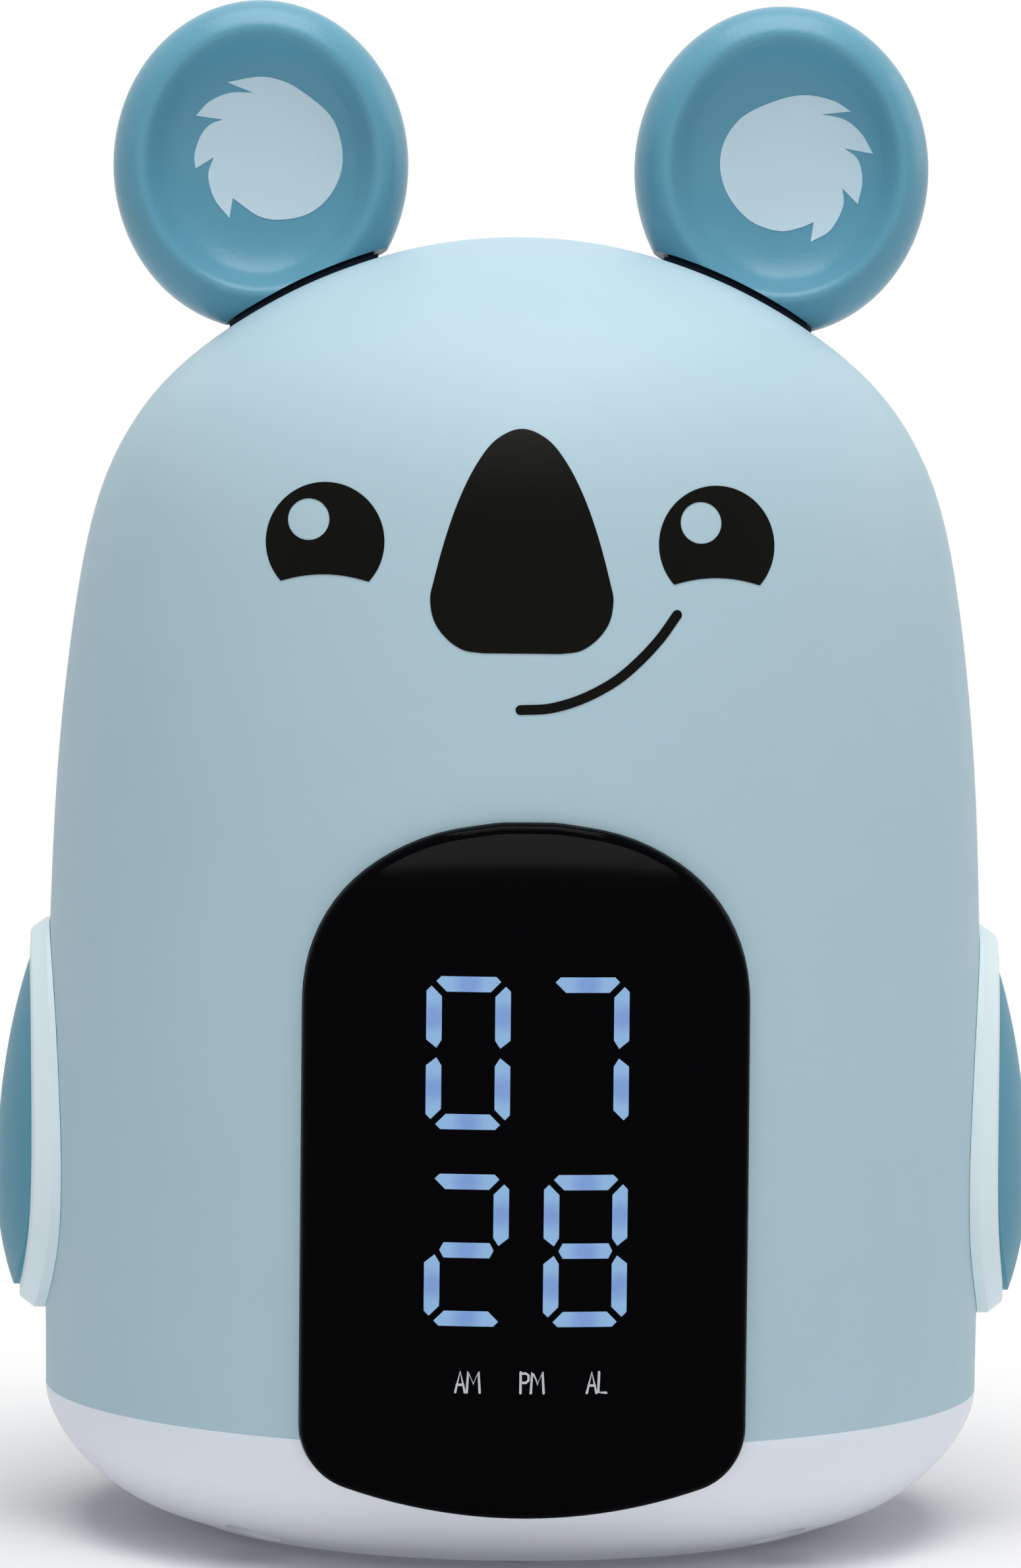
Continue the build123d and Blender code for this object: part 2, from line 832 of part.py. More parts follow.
# ---- display ----------------------------------------------------------------
def stroke_outlines():
    """The seven strokes of a digit, by letter, clockwise from the top; g is the middle."""
    w = digit_width / 2
    h = digit_height / 2
    t = stroke_width
    n = stroke_nose
    s = stroke_gap
    tip = w - 2 * t / 3
    blunt = stroke_blunt
    top = [
        (2 * n + s - w, h), (n + s - w, h - n), (t + s - w, h - t),
        (w - t - s, h - t), (w - n - s, h - n), (w - 2 * n - s, h),
    ]
    right = [
        (w, h - 2 * n - s), (w - n, h - n - s), (w - t, h - t - s),
        (w - t, s + blunt), (tip, s), (w, s + blunt),
    ]
    middle = [
        (s - tip, 0), (s + blunt / 2 - tip, t / 2), (tip - s - blunt / 2, t / 2),
        (tip - s, 0), (tip - s - blunt / 2, -t / 2), (s + blunt / 2 - tip, -t / 2),
    ]
    return {
        "a": top,
        "b": right,
        "c": [(x, -z) for x, z in right],
        "d": [(x, -z) for x, z in top],
        "e": [(-x, -z) for x, z in right],
        "f": [(-x, z) for x, z in right],
        "g": middle,
    }


def strokes():
    """Each stroke of the four digits: its outline in place, and whether it is lit."""
    found = []
    for z, figures in zip(digit_rows, shown_digits):
        for x, figure in zip(digit_columns, figures):
            for letter, outline in stroke_outlines().items():
                corners = [(x + across, z + up) for across, up in outline]
                lit = letter in lit_strokes[figure]
                found.append((corners, lit))
    return found


def stroke_prism(corners, back, gap=0.0):
    face = make_face(Polyline(*corners, close=True))
    if gap:
        face = offset(face, amount=-gap, kind=Kind.INTERSECTION)
    return prism_y(face, -reach, -back)


def make_display_window():
    window = window_block() & window_face(window_proud)
    window -= window_seat(window_sunk, pilot_gap)
    front = window.faces().sort_by(Axis.Y)[0]
    window = fillet(front.outer_wire().edges(), window_edge)
    for corners, _ in strokes():
        window -= stroke_prism(corners, 0)
    return window


def make_strokes(lit):
    back = display_board_face + led_height + stroke_chamber
    face = window_face(window_proud + stroke_proud)
    return [stroke_prism(corners, back, pilot_gap) & face for corners, on in strokes() if on == lit]


def make_reflector():
    block = prism_y(reflector_sketch(reflector_margin), -reach, -display_board_face)
    block &= dome_solid(window_sunk + pilot_gap)
    for corners, _ in strokes():
        block -= stroke_prism(corners, display_board_face)
    return block


def make_display_leds():
    """One lamp behind each stroke."""
    solids = []
    for corners, _ in strokes():
        x = sum(corner[0] for corner in corners) / len(corners)
        z = sum(corner[1] for corner in corners) / len(corners)
        lamp = Pos(x, z) * Rectangle(led_size, led_size)
        solids.append(prism_y(lamp, -display_board_face - led_height, -display_board_face))
    return solids


def make_adhesive():
    """The frame of foam tape between the window and the dome."""
    frame = window_outline(adhesive_margin) - window_outline(adhesive_margin + adhesive_width)
    band = prism_y(frame, -reach, 0)
    outer = window_sunk + pilot_gap
    return band & (dome_solid(outer) - dome_solid(outer + adhesive_thickness))


def make_display_board():
    height = display_board_top - display_board_bottom
    sheet = Pos(0, display_middle) * RectangleRounded(2 * display_board_half_width, height, board_corner)
    board = prism_y(sheet, -display_board_face, -display_board_back)
    for x, z in display_screw_places():
        board -= rod_y(x, z, small_screw["radius"] + seat_gap, -reach, 0)
    return board


def make_display_driver():
    """Driver chip and cable socket on the back of the display board."""
    chip = prism_y(Pos(0, display_middle) * Rectangle(driver_width, driver_length),
                   -display_board_back, chip_height - display_board_back)
    socket = prism_y(Pos(0, cable_socket_height) * cable_socket(),
                     -display_board_back, socket_rise - display_board_back)
    return [chip, socket]


def ribbon(start, across, end):
    """A flat cable in the YZ plane through three points."""
    path = FilletPolyline(start, across, end, radius=cable_bend)
    section = Plane(origin=start, x_dir=(1, 0, 0), z_dir=path % 0)
    return sweep(section * Rectangle(cable_width, cable_thickness), path=path)


def make_cables():
    """Flat cables from the display board and the control board to the main board."""
    drop = main_board_top + socket_rise
    display_y = socket_rise - display_board_back
    control_y = control_board_face - board_thickness - socket_rise
    display = ribbon((0, display_y, cable_socket_height),
                     (0, -cable_drop_y, cable_socket_height), (0, -cable_drop_y, drop))
    control = ribbon((0, control_y, cable_socket_height),
                     (0, cable_drop_y, cable_socket_height), (0, cable_drop_y, drop))
    return [display, control]


# ---- ears -------------------------------------------------------------------
def ear_form():
    """An ear's outer form about its own centre, dished in front, before it is made oval."""
    rim = ear_half_height
    floor = ear_dish_depth - ear_front
    points = [(0, floor, 0)]
    points += [
        (rim * across, floor - ear_dish_depth * up, 0) for across, up in ear_dish_shape
    ]
    points.append((rim * ear_crest, -ear_front, 0))
    points.append((rim * ear_lip_shape[0], -ear_front * ear_lip_shape[1], 0))
    points.append((rim, 0, 0))
    points += [(rim * across, ear_back * along, 0) for across, along in ear_back_shape]
    points.append((0, ear_back, 0))
    profile = Spline(*points, tangents=((1, 0, 0), (-1, 0, 0)))
    closing = Line((0, ear_back, 0), profile @ 0)
    return revolve(make_face([profile, closing]), Axis.Y)


def in_place(ear, side):
    """The round form made oval, set over its stem and trimmed clear of the dome."""
    oval = scale(ear, by=(ear_half_width / ear_half_height, 1, 1))
    return Pos(side * ear_x, ear_y, ear_height) * oval - shoulder_ball(ear_gap)


def shoulder_ball(gap):
    """A ball that follows the dome's shoulder under the ears, further out by gap."""
    near = ear_ball_near * body_radius
    far = ear_ball_far * body_radius
    near_height = height_on_dome(near)
    far_height = height_on_dome(far)
    rise = near_height - far_height
    middle = (near_height + far_height) / 2 - (far ** 2 - near ** 2) / (2 * rise)
    return Pos(0, 0, middle) * Sphere(math.hypot(near, near_height - middle) + gap)


def above_floor(ear):
    """The part of an ear's inside that lies above its solid foot."""
    return ear & Pos(0, 0, -ear_foot_depth) * Box(
        reach, reach, reach, align=(Align.CENTER, Align.CENTER, Align.MIN)
    )


def make_ear_shell(side):
    """Front of the ear with its dish; solid at the foot, hollow above."""
    front = ear_form() & Pos(0, ear_parting - reach / 2, 0) * Box(reach, reach, reach)
    room = rod_y(0, 0, ear_half_height - ear_wall - ear_spigot_step, ear_floor_back, ear_parting)
    return in_place(front - above_floor(room), side)


def make_ear_back(side):
    """Rear cap of the ear, spigoted into the shell."""
    cap = ear_form() & Pos(0, ear_parting + reach / 2, 0) * Box(reach, reach, reach)
    outer = ear_half_height - ear_wall - ear_spigot_step - seat_gap
    spigot = rod_y(0, 0, outer, ear_parting - ear_spigot, ear_parting)
    spigot -= rod_y(0, 0, outer - ear_wall, ear_parting - ear_spigot, ear_parting)
    lift = Pos(0, 0, seat_gap)
    return in_place(cap + lift * above_floor(Pos(0, 0, -seat_gap) * spigot), side)


def make_ear_stem(side):
    """Stem welded to the ear's foot: it slides in the dome's guide and ends in a nib."""
    x = side * stem_x
    stem = rod_z(x, stem_y, stem_radius, stem_foot, body_height)
    stem &= shoulder_ball(ear_gap - pilot_gap)
    groove = Circle(stem_radius + over_cut) - Circle(clip_groove_radius)
    stem -= prism_z(Pos(x, stem_y) * groove, clip_foot - pilot_gap, clip_top + pilot_gap)
    return stem + rod_z(x, stem_y, nib_radius, stem_foot - nib_length, stem_foot)


def make_ear_clip(side):
    """C-shaped clip in the stem's groove, under the guide."""
    ring = Circle(clip_radius) - Circle(clip_groove_radius + pilot_gap)
    ring -= Pos(0, clip_radius) * Rectangle(clip_mouth, 2 * clip_radius)
    return prism_z(Pos(side * stem_x, stem_y) * ring, clip_foot, clip_top)


def make_ear_spring(side):
    coil = coil_spring(ear_spring_radius, ear_wire_radius, ear_spring_length, ear_spring_turns)
    return Pos(side * stem_x, stem_y, ear_board_top) * coil


def make_ear_board(side):
    sheet = Pos(side * stem_x, stem_y) * RectangleRounded(
        ear_board_length, ear_board_width, board_corner
    )
    board = prism_z(sheet, ear_board_foot, ear_board_top)
    for end in (-1, 1):
        x = side * stem_x + end * ear_post_spacing / 2
        board -= rod_z(x, stem_y, small_screw["radius"] + seat_gap, 0, body_height)
    return board


def make_ear_switch(side):
    """Small push switch inside the ear's spring."""
    place = Pos(side * stem_x, stem_y)
    top = ear_board_top + ear_switch_height
    body = prism_z(place * Rectangle(ear_switch_size, ear_switch_size), ear_board_top, top)
    button_top = stem_foot - nib_length - ear_travel - travel_gap
    return body + prism_z(place * Circle(nib_radius), top, button_top)


# ---- arms -------------------------------------------------------------------
def egg(shrink=0.0):
    """The arm from the side: an egg, its blunt end down."""
    half = arm_half_width - shrink
    top = arm_top - shrink
    bottom = arm_bottom + shrink
    upper = [math.radians(turn) for turn in (0, 22.5, 45, 67.5, 90)]
    rise = top - arm_widest
    fall = arm_widest - bottom
    points = [(half * math.cos(turn), arm_widest + rise * math.sin(turn)) for turn in upper]
    points += [(-y, z) for y, z in reversed(points[:-1])]
    points += [
        (-half * math.cos(turn), arm_widest - fall * math.sin(turn)) for turn in upper[1:]
    ]
    points += [
        (half * math.cos(turn), arm_widest - fall * math.sin(turn)) for turn in upper[-2:0:-1]
    ]
    return make_face(Spline(*points, periodic=True))


def side_block(sketch, side):
    low, high = sorted((0.0, side * reach))
    return prism_x(sketch, low, high)


def make_arm_rim(side):
    """Pale shell of an arm, with a pocket for its pad and two screw holes from within."""
    lean = Pos(0, 0, arm_widest) * Rot(0, arm_lean, 0) * Pos(0, 0, -arm_widest)
    plate = side_block(egg(), -1) & lean * dome_solid(-arm_proud)
    plate -= dome_solid(-pilot_gap)
    outer = plate.faces().sort_by(Axis.X)[0]
    plate = chamfer(outer.outer_wire().edges(), arm_bevel_wall, arm_bevel_face, reference=outer)
    outer = plate.faces().sort_by(Axis.X)[0]
    plate = fillet(outer.outer_wire().edges(), arm_edge)
    plate -= side_block(egg(arm_rim), -1) - dome_solid(-arm_floor)
    screw_end = arm_screw_seat + arm_screw["length"] + pilot_gap
    for z in (arm_screw_low, arm_screw_high):
        plate -= prism_x(Pos(0, z) * Circle(arm_screw["radius"] + pilot_gap), -screw_end, 0)
    return plate if side < 0 else mirror(plate, about=Plane.YZ)


def make_arm_pad(side):
    """Blue pad of an arm: an egg-shaped cushion form that fills the rim's pocket."""
    ball = Sphere(1)
    above = Pos(0, 0, reach / 2) * Box(reach, reach, reach)
    upper = scale(ball, by=(pad_depth, pad_half_width, pad_upper)) & above
    lower = scale(ball, by=(pad_depth, pad_half_width, pad_lower)) - above
    centre = side * (body_radius + pad_proud - pad_depth)
    form = Pos(centre, 0, arm_widest) * (upper + lower)
    form &= side_block(egg(arm_rim + pilot_gap), side)
    return form - dome_solid(-arm_floor - pilot_gap)


# ---- rear controls ----------------------------------------------------------
def speaker_holes():
    """Hole centres of the grille: rings of six, twelve and eighteen about one."""
    spots = [(0.0, speaker_height)]
    for ring in range(1, grille_rings + 1):
        for step in range(6 * ring):
            turn = math.tau * step / (6 * ring)
            radius = ring * grille_pitch
            spots.append((radius * math.cos(turn), speaker_height + radius * math.sin(turn)))
    return spots


def control_posts():
    return [(side * control_post_x, z) for side in (-1, 1) for z in control_post_heights]


def make_control_panel():
    inside = dome_solid(panel_sunk + panel_thickness / 2)
    panel = prism_y(panel_outline(), 0, reach)
    panel &= dome_solid(panel_sunk) - dome_solid(panel_sunk + panel_thickness)
    added = []
    for x, z, _ in buttons.values():
        added.append(rod_y(x, z, button_radius + running_gap + button_guide_wall, guide_end, reach))
    for x, z in control_posts():
        added.append(rod_y(x, z, control_post_radius, control_board_face, reach))
    added.append(rod_y(0, speaker_height, speaker_radius + speaker_rim, clamp_face, reach))
    for side in (-1, 1):
        added.append(
            rod_y(side * clamp_screw_x, speaker_height, clamp_post_radius, clamp_face, reach)
        )
    for x, z, seat in panel_screw_places():
        added.append(rod_y(x, z, panel_lug_radius, seat - panel_lug_wall, reach))
    for piece in added:
        panel += piece & inside
    for x, z, _ in buttons.values():
        panel -= rod_y(x, z, button_radius + running_gap, 0, reach)
    for x, z in control_posts():
        panel -= rod_y(x, z, small_screw["radius"] + pilot_gap, 0,
                       control_board_face - board_thickness + small_screw["length"])
    panel -= rod_y(0, speaker_height, speaker_radius + seat_gap, 0, speaker_seat)
    room = rod_y(0, speaker_height, speaker_radius - speaker_rim, 0, reach)
    panel -= room & dome_solid(panel_sunk + panel_thickness)
    for x, z in speaker_holes():
        panel -= rod_y(x, z, grille_hole_radius, speaker_seat, reach)
    for side in (-1, 1):
        panel -= rod_y(side * clamp_screw_x, speaker_height, small_screw["radius"] + pilot_gap, 0,
                       clamp_face - clamp_thickness + small_screw["length"])
    head = medium_screw["head_radius"] + seat_gap
    for x, z, seat in panel_screw_places():
        panel -= rod_y(x, z, medium_screw["radius"] + seat_gap, 0, reach)
        panel -= rod_y(x, z, head, seat, reach)
    slot = Pos(0, switch_height) * Rectangle(knob_width + knob_travel + 2 * seat_gap,
                                             knob_tall + 2 * seat_gap)
    panel -= prism_y(slot, 0, reach)
    flat = Pos(0, switch_height) * Rectangle(knob_channel, knob_tall + 2 * knob_flange_margin)
    panel -= prism_y(flat, 0, knob_roof)
    mouth = Pos(0, socket_height) * SlotOverall(socket_width + 2 * socket_mouth_gap,
                                                socket_tall + 2 * socket_mouth_gap)
    return panel - prism_y(mouth, 0, reach)


def make_button(x, z, sign):
    """A button cap: flanged at the back, softly rounded, with a raised sign."""
    face = math.sqrt((body_radius - panel_sunk) ** 2 - x ** 2) + button_proud
    cap = rod_y(x, z, button_radius, cap_face, face)
    cap = fillet(cap.edges().sort_by(Axis.Y)[-1], button_proud / 2)
    cap += rod_y(x, z, button_flange_radius, cap_face, cap_face + button_flange)
    across = Rectangle(sign_length, sign_width)
    upright = Rectangle(sign_width, sign_length)
    shapes = {
        "dot": Circle(sign_dot_radius),
        "minus": across,
        "plus": across + upright,
        "ring": Circle(sign_length / 2) - Circle(sign_length / 2 - sign_width),
        "bar": upright,
    }
    return cap + prism_y(Pos(x, z) * shapes[sign], face - button_mark, face + button_mark)


def make_tact_switches():
    solids = []
    for x, z, _ in buttons.values():
        body = prism_y(Pos(x, z) * Rectangle(tact_size, tact_size), control_board_face, tact_face)
        tip = cap_face - button_travel - travel_gap
        solids.append(body + rod_y(x, z, plunger_radius, tact_face, tip))
    return solids


def make_switch_knob():
    """Knob of the slide switch, at the left end of its slot."""
    x = -knob_travel / 2
    top = body_radius - panel_sunk + knob_proud
    knob = prism_y(Pos(x, switch_height) * Rectangle(knob_width, knob_tall), knob_foot, top)
    knob = fillet(knob.edges().group_by(Axis.Y)[-1], knob_edge)
    plate = Pos(x, switch_height) * Rectangle(
        knob_width + knob_travel + 2 * knob_flange, knob_tall + 2 * knob_flange
    )
    knob += prism_y(plate, knob_foot, knob_roof - travel_gap)
    for line in (-1, 0, 1):
        rib = Pos(x + line * knob_width / 4, switch_height) * Rectangle(knob_rib, knob_rib_length)
        knob -= prism_y(rib, top - button_mark, top)
    return knob


def make_switch_body():
    sheet = Pos(0, switch_height) * Rectangle(knob_channel, switch_body_height)
    return prism_y(sheet, control_board_face, knob_foot - travel_gap)


def make_power_socket():
    """Inlet for a plug: an oval shell with a tongue, square to the control board."""
    outer = SlotOverall(socket_width, socket_tall)
    inner = SlotOverall(socket_width - 2 * socket_wall, socket_tall - 2 * socket_wall)
    place = Pos(0, socket_height)
    shell = prism_y(place * outer, control_board_face, socket_end)
    shell -= prism_y(place * inner, control_board_face + socket_floor, socket_end)
    tongue = place * Rectangle(socket_tongue_width, socket_tongue)
    return shell + prism_y(tongue, control_board_face + socket_floor / 2,
                           socket_end - socket_tongue_short)


def make_control_board():
    middle = (control_board_bottom + control_board_top) / 2
    sheet = Pos(0, middle) * RectangleRounded(
        2 * control_board_half_width, control_board_top - control_board_bottom, board_corner
    )
    board = prism_y(sheet, control_board_face - board_thickness, control_board_face)
    for x, z in control_posts():
        board -= rod_y(x, z, small_screw["radius"] + seat_gap, 0, reach)
    return board


def make_control_socket():
    """Cable socket on the inner face of the control board."""
    face = control_board_face - board_thickness
    return prism_y(Pos(0, cable_socket_height) * cable_socket(), face - socket_rise, face)


def about_speaker(corners):
    """The ring or cup whose section has these (distance from the axis, y) corners."""
    section = Polyline(*[(across, y, 0) for across, y in corners], close=True)
    return Pos(0, 0, speaker_height) * revolve(make_face(section), Axis.Y)


def make_speaker_frame():
    """Pressed basket: a flat rim and a tapering back."""
    rear = clamp_face - speaker_depth
    wall = speaker_wall
    rim = speaker_radius - speaker_rim_width
    return about_speaker([
        (0, rear), (magnet_radius, rear), (rim, clamp_face), (speaker_radius, clamp_face),
        (speaker_radius, speaker_seat), (rim - wall, speaker_seat),
        (magnet_radius - wall, rear + wall), (0, rear + wall),
    ])


def make_speaker_cone():
    """Paper cone with its dust cap, hung inside the basket's rim."""
    wall = cone_wall
    rim = speaker_radius - speaker_rim_width - speaker_wall - wall
    low = speaker_seat - cone_depth
    return about_speaker([
        (0, low), (magnet_radius / 2, low), (rim - wall, speaker_seat - wall),
        (rim, speaker_seat - wall), (rim, speaker_seat), (rim - 2 * wall, speaker_seat),
        (magnet_radius / 2, low + wall), (0, low + wall),
    ])


def make_magnet():
    rear = clamp_face - speaker_depth
    return rod_y(0, speaker_height, magnet_radius, rear - magnet_height, rear)


def make_clamp():
    """Ring that holds the speaker in its seat, on two screws."""
    ring = Circle(speaker_radius + speaker_rim)
    for side in (-1, 1):
        ring += Pos(side * clamp_screw_x, 0) * Circle(clamp_lug_radius)
    ring -= Circle(speaker_radius - clamp_overlap)
    clamp = prism_y(Pos(0, speaker_height) * ring, clamp_face - clamp_thickness, clamp_face)
    for side in (-1, 1):
        clamp -= rod_y(side * clamp_screw_x, speaker_height, small_screw["radius"] + seat_gap, 0,
                       reach)
    return clamp


# ---- fasteners and feet -----------------------------------------------------
def make_feet():
    solids = []
    for x, y in at_corners(foot_x, foot_y):
        foot = rod_z(x, y, foot_radius, 0, foot_height)
        solids.append(fillet(foot.edges().sort_by(Axis.Z)[0], base_lift / 2))
    return solids


def make_base_screws():
    seat = post_foot_height - well_web
    return [placed(screw(**large_screw), (x, y, seat), (0, 0, -1)) for x, y in well_places()]


def make_door_screws():
    return [
        placed(screw(**medium_screw), (0, end * door_screw_y, door_screw_seat), (0, 0, -1))
        for end in (-1, 1)
    ]


def make_chassis_screws():
    return [
        placed(screw(**chassis_screw), (x, y, chassis_top), (0, 0, 1))
        for x, y in at_corners(chassis_screw_x, chassis_screw_y)
    ]


def make_panel_screws():
    return [
        placed(screw(**medium_screw), (x, seat, z), (0, 1, 0))
        for x, z, seat in panel_screw_places()
    ]


def make_arm_screws():
    return [
        placed(screw(**arm_screw), (side * arm_screw_seat, 0, z), (-side, 0, 0))
        for side in side_names
        for z in (arm_screw_low, arm_screw_high)
    ]


def make_small_screws():
    """The identical small screws of the boards and the speaker clamp."""
    spots = [((x, y, main_board_top), (0, 0, 1)) for x, y in main_board_corners()]
    spots += [((x, -display_board_back, z), (0, 1, 0)) for x, z in display_screw_places()]
    inner = control_board_face - board_thickness
    spots += [((x, inner, z), (0, -1, 0)) for x, z in control_posts()]
    for side in (-1, 1):
        for end in (-1, 1):
            x = side * stem_x + end * ear_post_spacing / 2
            spots.append(((x, stem_y, ear_board_foot), (0, 0, -1)))
        spots.append(((side * clamp_screw_x, clamp_face - clamp_thickness, speaker_height),
                      (0, -1, 0)))
    return [placed(screw(**small_screw), origin, direction) for origin, direction in spots]


# ---- every node -------------------------------------------------------------
def build_nodes():
    nodes = {
        "dome_shell": make_dome_shell(),
        "base_diffuser": make_base_diffuser(),
        "rubber_feet": group(make_feet()),
        "base_screws": group(make_base_screws()),
        "battery_tray": make_battery_tray(),
        "battery_door": make_battery_door(),
        "battery_door_screws": group(make_door_screws()),
        "battery_cells": group(
            [make_cell(x, 1 if index % 2 == 0 else -1) for index, x in enumerate(cell_places())]
        ),
        "battery_contacts": group(make_contacts()),
        "light_board": make_light_board(),
        "night_lights": group(make_night_lights()),
        "chassis": make_chassis(),
        "chassis_screws": group(make_chassis_screws()),
        "main_board": make_main_board(),
        "main_board_parts": group(make_board_parts()),
        "display_window": make_display_window(),
        "window_adhesive": make_adhesive(),
        "digits_lit": group(make_strokes(True)),
        "digits_dark": group(make_strokes(False)),
        "display_reflector": make_reflector(),
        "display_leds": group(make_display_leds()),
        "display_board": make_display_board(),
        "display_driver": group(make_display_driver()),
        "flat_cables": group(make_cables()),
        "control_panel": make_control_panel(),
        "control_panel_screws": group(make_panel_screws()),
        "control_board": make_control_board(),
        "control_socket": make_control_socket(),
        "tact_switches": group(make_tact_switches()),
        "power_switch_knob": make_switch_knob(),
        "power_switch_body": make_switch_body(),
        "power_socket": make_power_socket(),
        "speaker_frame": make_speaker_frame(),
        "speaker_cone": make_speaker_cone(),
        "speaker_magnet": make_magnet(),
        "speaker_clamp": make_clamp(),
        "small_screws": group(make_small_screws()),
        "arm_screws": group(make_arm_screws()),
    }
    for name, place in buttons.items():
        nodes[name] = make_button(*place)
    for side, word in side_names.items():
        nodes[f"ear_{word}_shell"] = make_ear_shell(side)
        nodes[f"ear_{word}_back"] = make_ear_back(side)
        nodes[f"ear_{word}_stem"] = make_ear_stem(side)
        nodes[f"ear_{word}_clip"] = make_ear_clip(side)
        nodes[f"ear_{word}_spring"] = make_ear_spring(side)
        nodes[f"arm_{word}_rim"] = make_arm_rim(side)
        nodes[f"arm_{word}_pad"] = make_arm_pad(side)
    nodes["ear_boards"] = group([make_ear_board(side) for side in side_names])
    nodes["ear_switches"] = group([make_ear_switch(side) for side in side_names])
    return nodes


for node, shape in build_nodes().items():
    export_step(shape, f"parts/{node}.step")
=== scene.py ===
import json
import math

import bmesh
import bpy
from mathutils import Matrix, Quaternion, Vector
from mathutils.bvhtree import BVHTree


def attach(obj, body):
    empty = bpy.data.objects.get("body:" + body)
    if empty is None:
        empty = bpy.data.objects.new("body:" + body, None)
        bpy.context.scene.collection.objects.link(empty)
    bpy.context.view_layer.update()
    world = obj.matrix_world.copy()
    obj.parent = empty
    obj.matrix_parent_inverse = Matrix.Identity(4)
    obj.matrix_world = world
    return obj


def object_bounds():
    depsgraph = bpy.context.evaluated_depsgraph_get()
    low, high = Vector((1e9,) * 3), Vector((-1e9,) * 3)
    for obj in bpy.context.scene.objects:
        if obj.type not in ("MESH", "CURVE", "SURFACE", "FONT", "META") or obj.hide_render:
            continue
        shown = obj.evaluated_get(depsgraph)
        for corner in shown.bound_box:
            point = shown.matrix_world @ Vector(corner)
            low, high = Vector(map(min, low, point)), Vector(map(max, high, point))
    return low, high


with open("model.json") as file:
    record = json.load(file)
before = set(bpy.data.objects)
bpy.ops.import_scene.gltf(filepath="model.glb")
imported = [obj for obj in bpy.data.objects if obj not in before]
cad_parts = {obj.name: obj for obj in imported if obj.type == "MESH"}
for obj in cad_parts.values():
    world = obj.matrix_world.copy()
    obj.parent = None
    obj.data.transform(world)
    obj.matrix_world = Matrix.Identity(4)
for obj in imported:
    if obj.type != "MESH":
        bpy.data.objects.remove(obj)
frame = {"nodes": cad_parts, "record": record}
cad_low, cad_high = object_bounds()
nodes = frame["nodes"]
slots = {part["node"]: part["material_slot"] for part in frame["record"]["subparts"]}
scene = bpy.context.scene
scene.view_settings.view_transform = "Standard"

# Sizes are in millimetres, turned into the frame's metres with MM.
MM = 0.001
# The share by which a surface's roughness drifts either way.
WEAR = 0.13

# ---- the face: (x, z) as seen from the front -----------------------------------
FACE_X = -0.93
EYE_SPREAD = 20.48
EYE_Z = 109.2
EYE_RADIUS = 6.2
EYE_CUT_HALF = 4.62
EYE_CUT_Z = 105.0
EYE_CUT_RISE = 0.75
GLINT_OFFSET = (-1.72, 2.3)
GLINT_RADIUS = 2.19
NOSE_HALF = (
    (0.0, 121.1), (2.65, 120.0), (4.67, 117.5), (6.47, 113.9), (7.95, 109.7), (9.15, 105.2),
    (9.5, 103.3), (9.1, 101.1), (7.85, 99.3), (6.1, 98.1), (4.1, 97.77),
)
SMILE = (
    (-0.1, 91.95), (3.0, 92.15), (6.3, 93.15), (9.6, 94.9), (12.1, 96.95), (14.4, 99.4),
    (16.2, 101.9),
)
SMILE_WIDTH = 1.02

# ---- how a print lies on its surface ---------------------------------------------
PRINT_LIFT = 0.07
PRINT_THICKNESS = 0.09
PRINT_GRID = 0.7
TUFT_GRID = 0.45
RIM_ANGLE = 40.0
CUT_TOLERANCE = 0.0001

# ---- the ear tufts: (x, z) from the ear's middle, one run between two corners -------
EAR_X = 29.1
EAR_Z = 151.1
LEFT_TUFT = (
    ((-3.8, 9.0), (-0.4, 9.65), (1.95, 9.35), (4.3, 8.25), (7.65, 5.5), (8.95, 2.4), (9.0, -0.65),
     (7.7, -3.5), (5.4, -5.45), (2.35, -6.15), (-0.25, -5.75), (-3.1, -3.8)),
    ((-3.1, -3.8), (-3.45, -6.05)),
    ((-3.45, -6.05), (-5.15, -3.9), (-5.85, -1.35), (-5.25, 0.7)),
    ((-5.25, 0.7), (-7.25, -0.6)),
    ((-7.25, -0.6), (-7.4, 0.95), (-6.75, 3.0), (-5.7, 4.3), (-4.25, 4.9)),
    ((-4.25, 4.9), (-7.25, 5.25)),
    ((-7.25, 5.25), (-5.75, 6.85), (-3.45, 7.85), (-0.9, 7.9)),
    ((-0.9, 7.9), (-3.8, 9.0)),
)
RIGHT_TUFT = (
    ((7.5, 6.55), (5.5, 7.75), (2.3, 8.35), (-0.8, 7.7), (-4.5, 5.9), (-6.55, 3.15), (-7.0, 0.0),
     (-5.95, -3.1), (-3.55, -5.7), (-0.4, -6.8), (2.0, -6.4), (3.55, -5.75)),
    ((3.55, -5.75), (3.2, -8.0)),
    ((3.2, -8.0), (5.4, -6.65), (6.8, -4.0), (6.7, -1.95)),
    ((6.7, -1.95), (8.4, -3.75)),
    ((8.4, -3.75), (8.9, -1.1), (8.35, 1.25), (6.85, 2.5)),
    ((6.85, 2.5), (10.0, 1.85)),
    ((10.0, 1.85), (8.7, 4.1), (6.85, 5.65), (4.3, 6.25)),
    ((4.3, 6.25), (7.5, 6.55)),
)

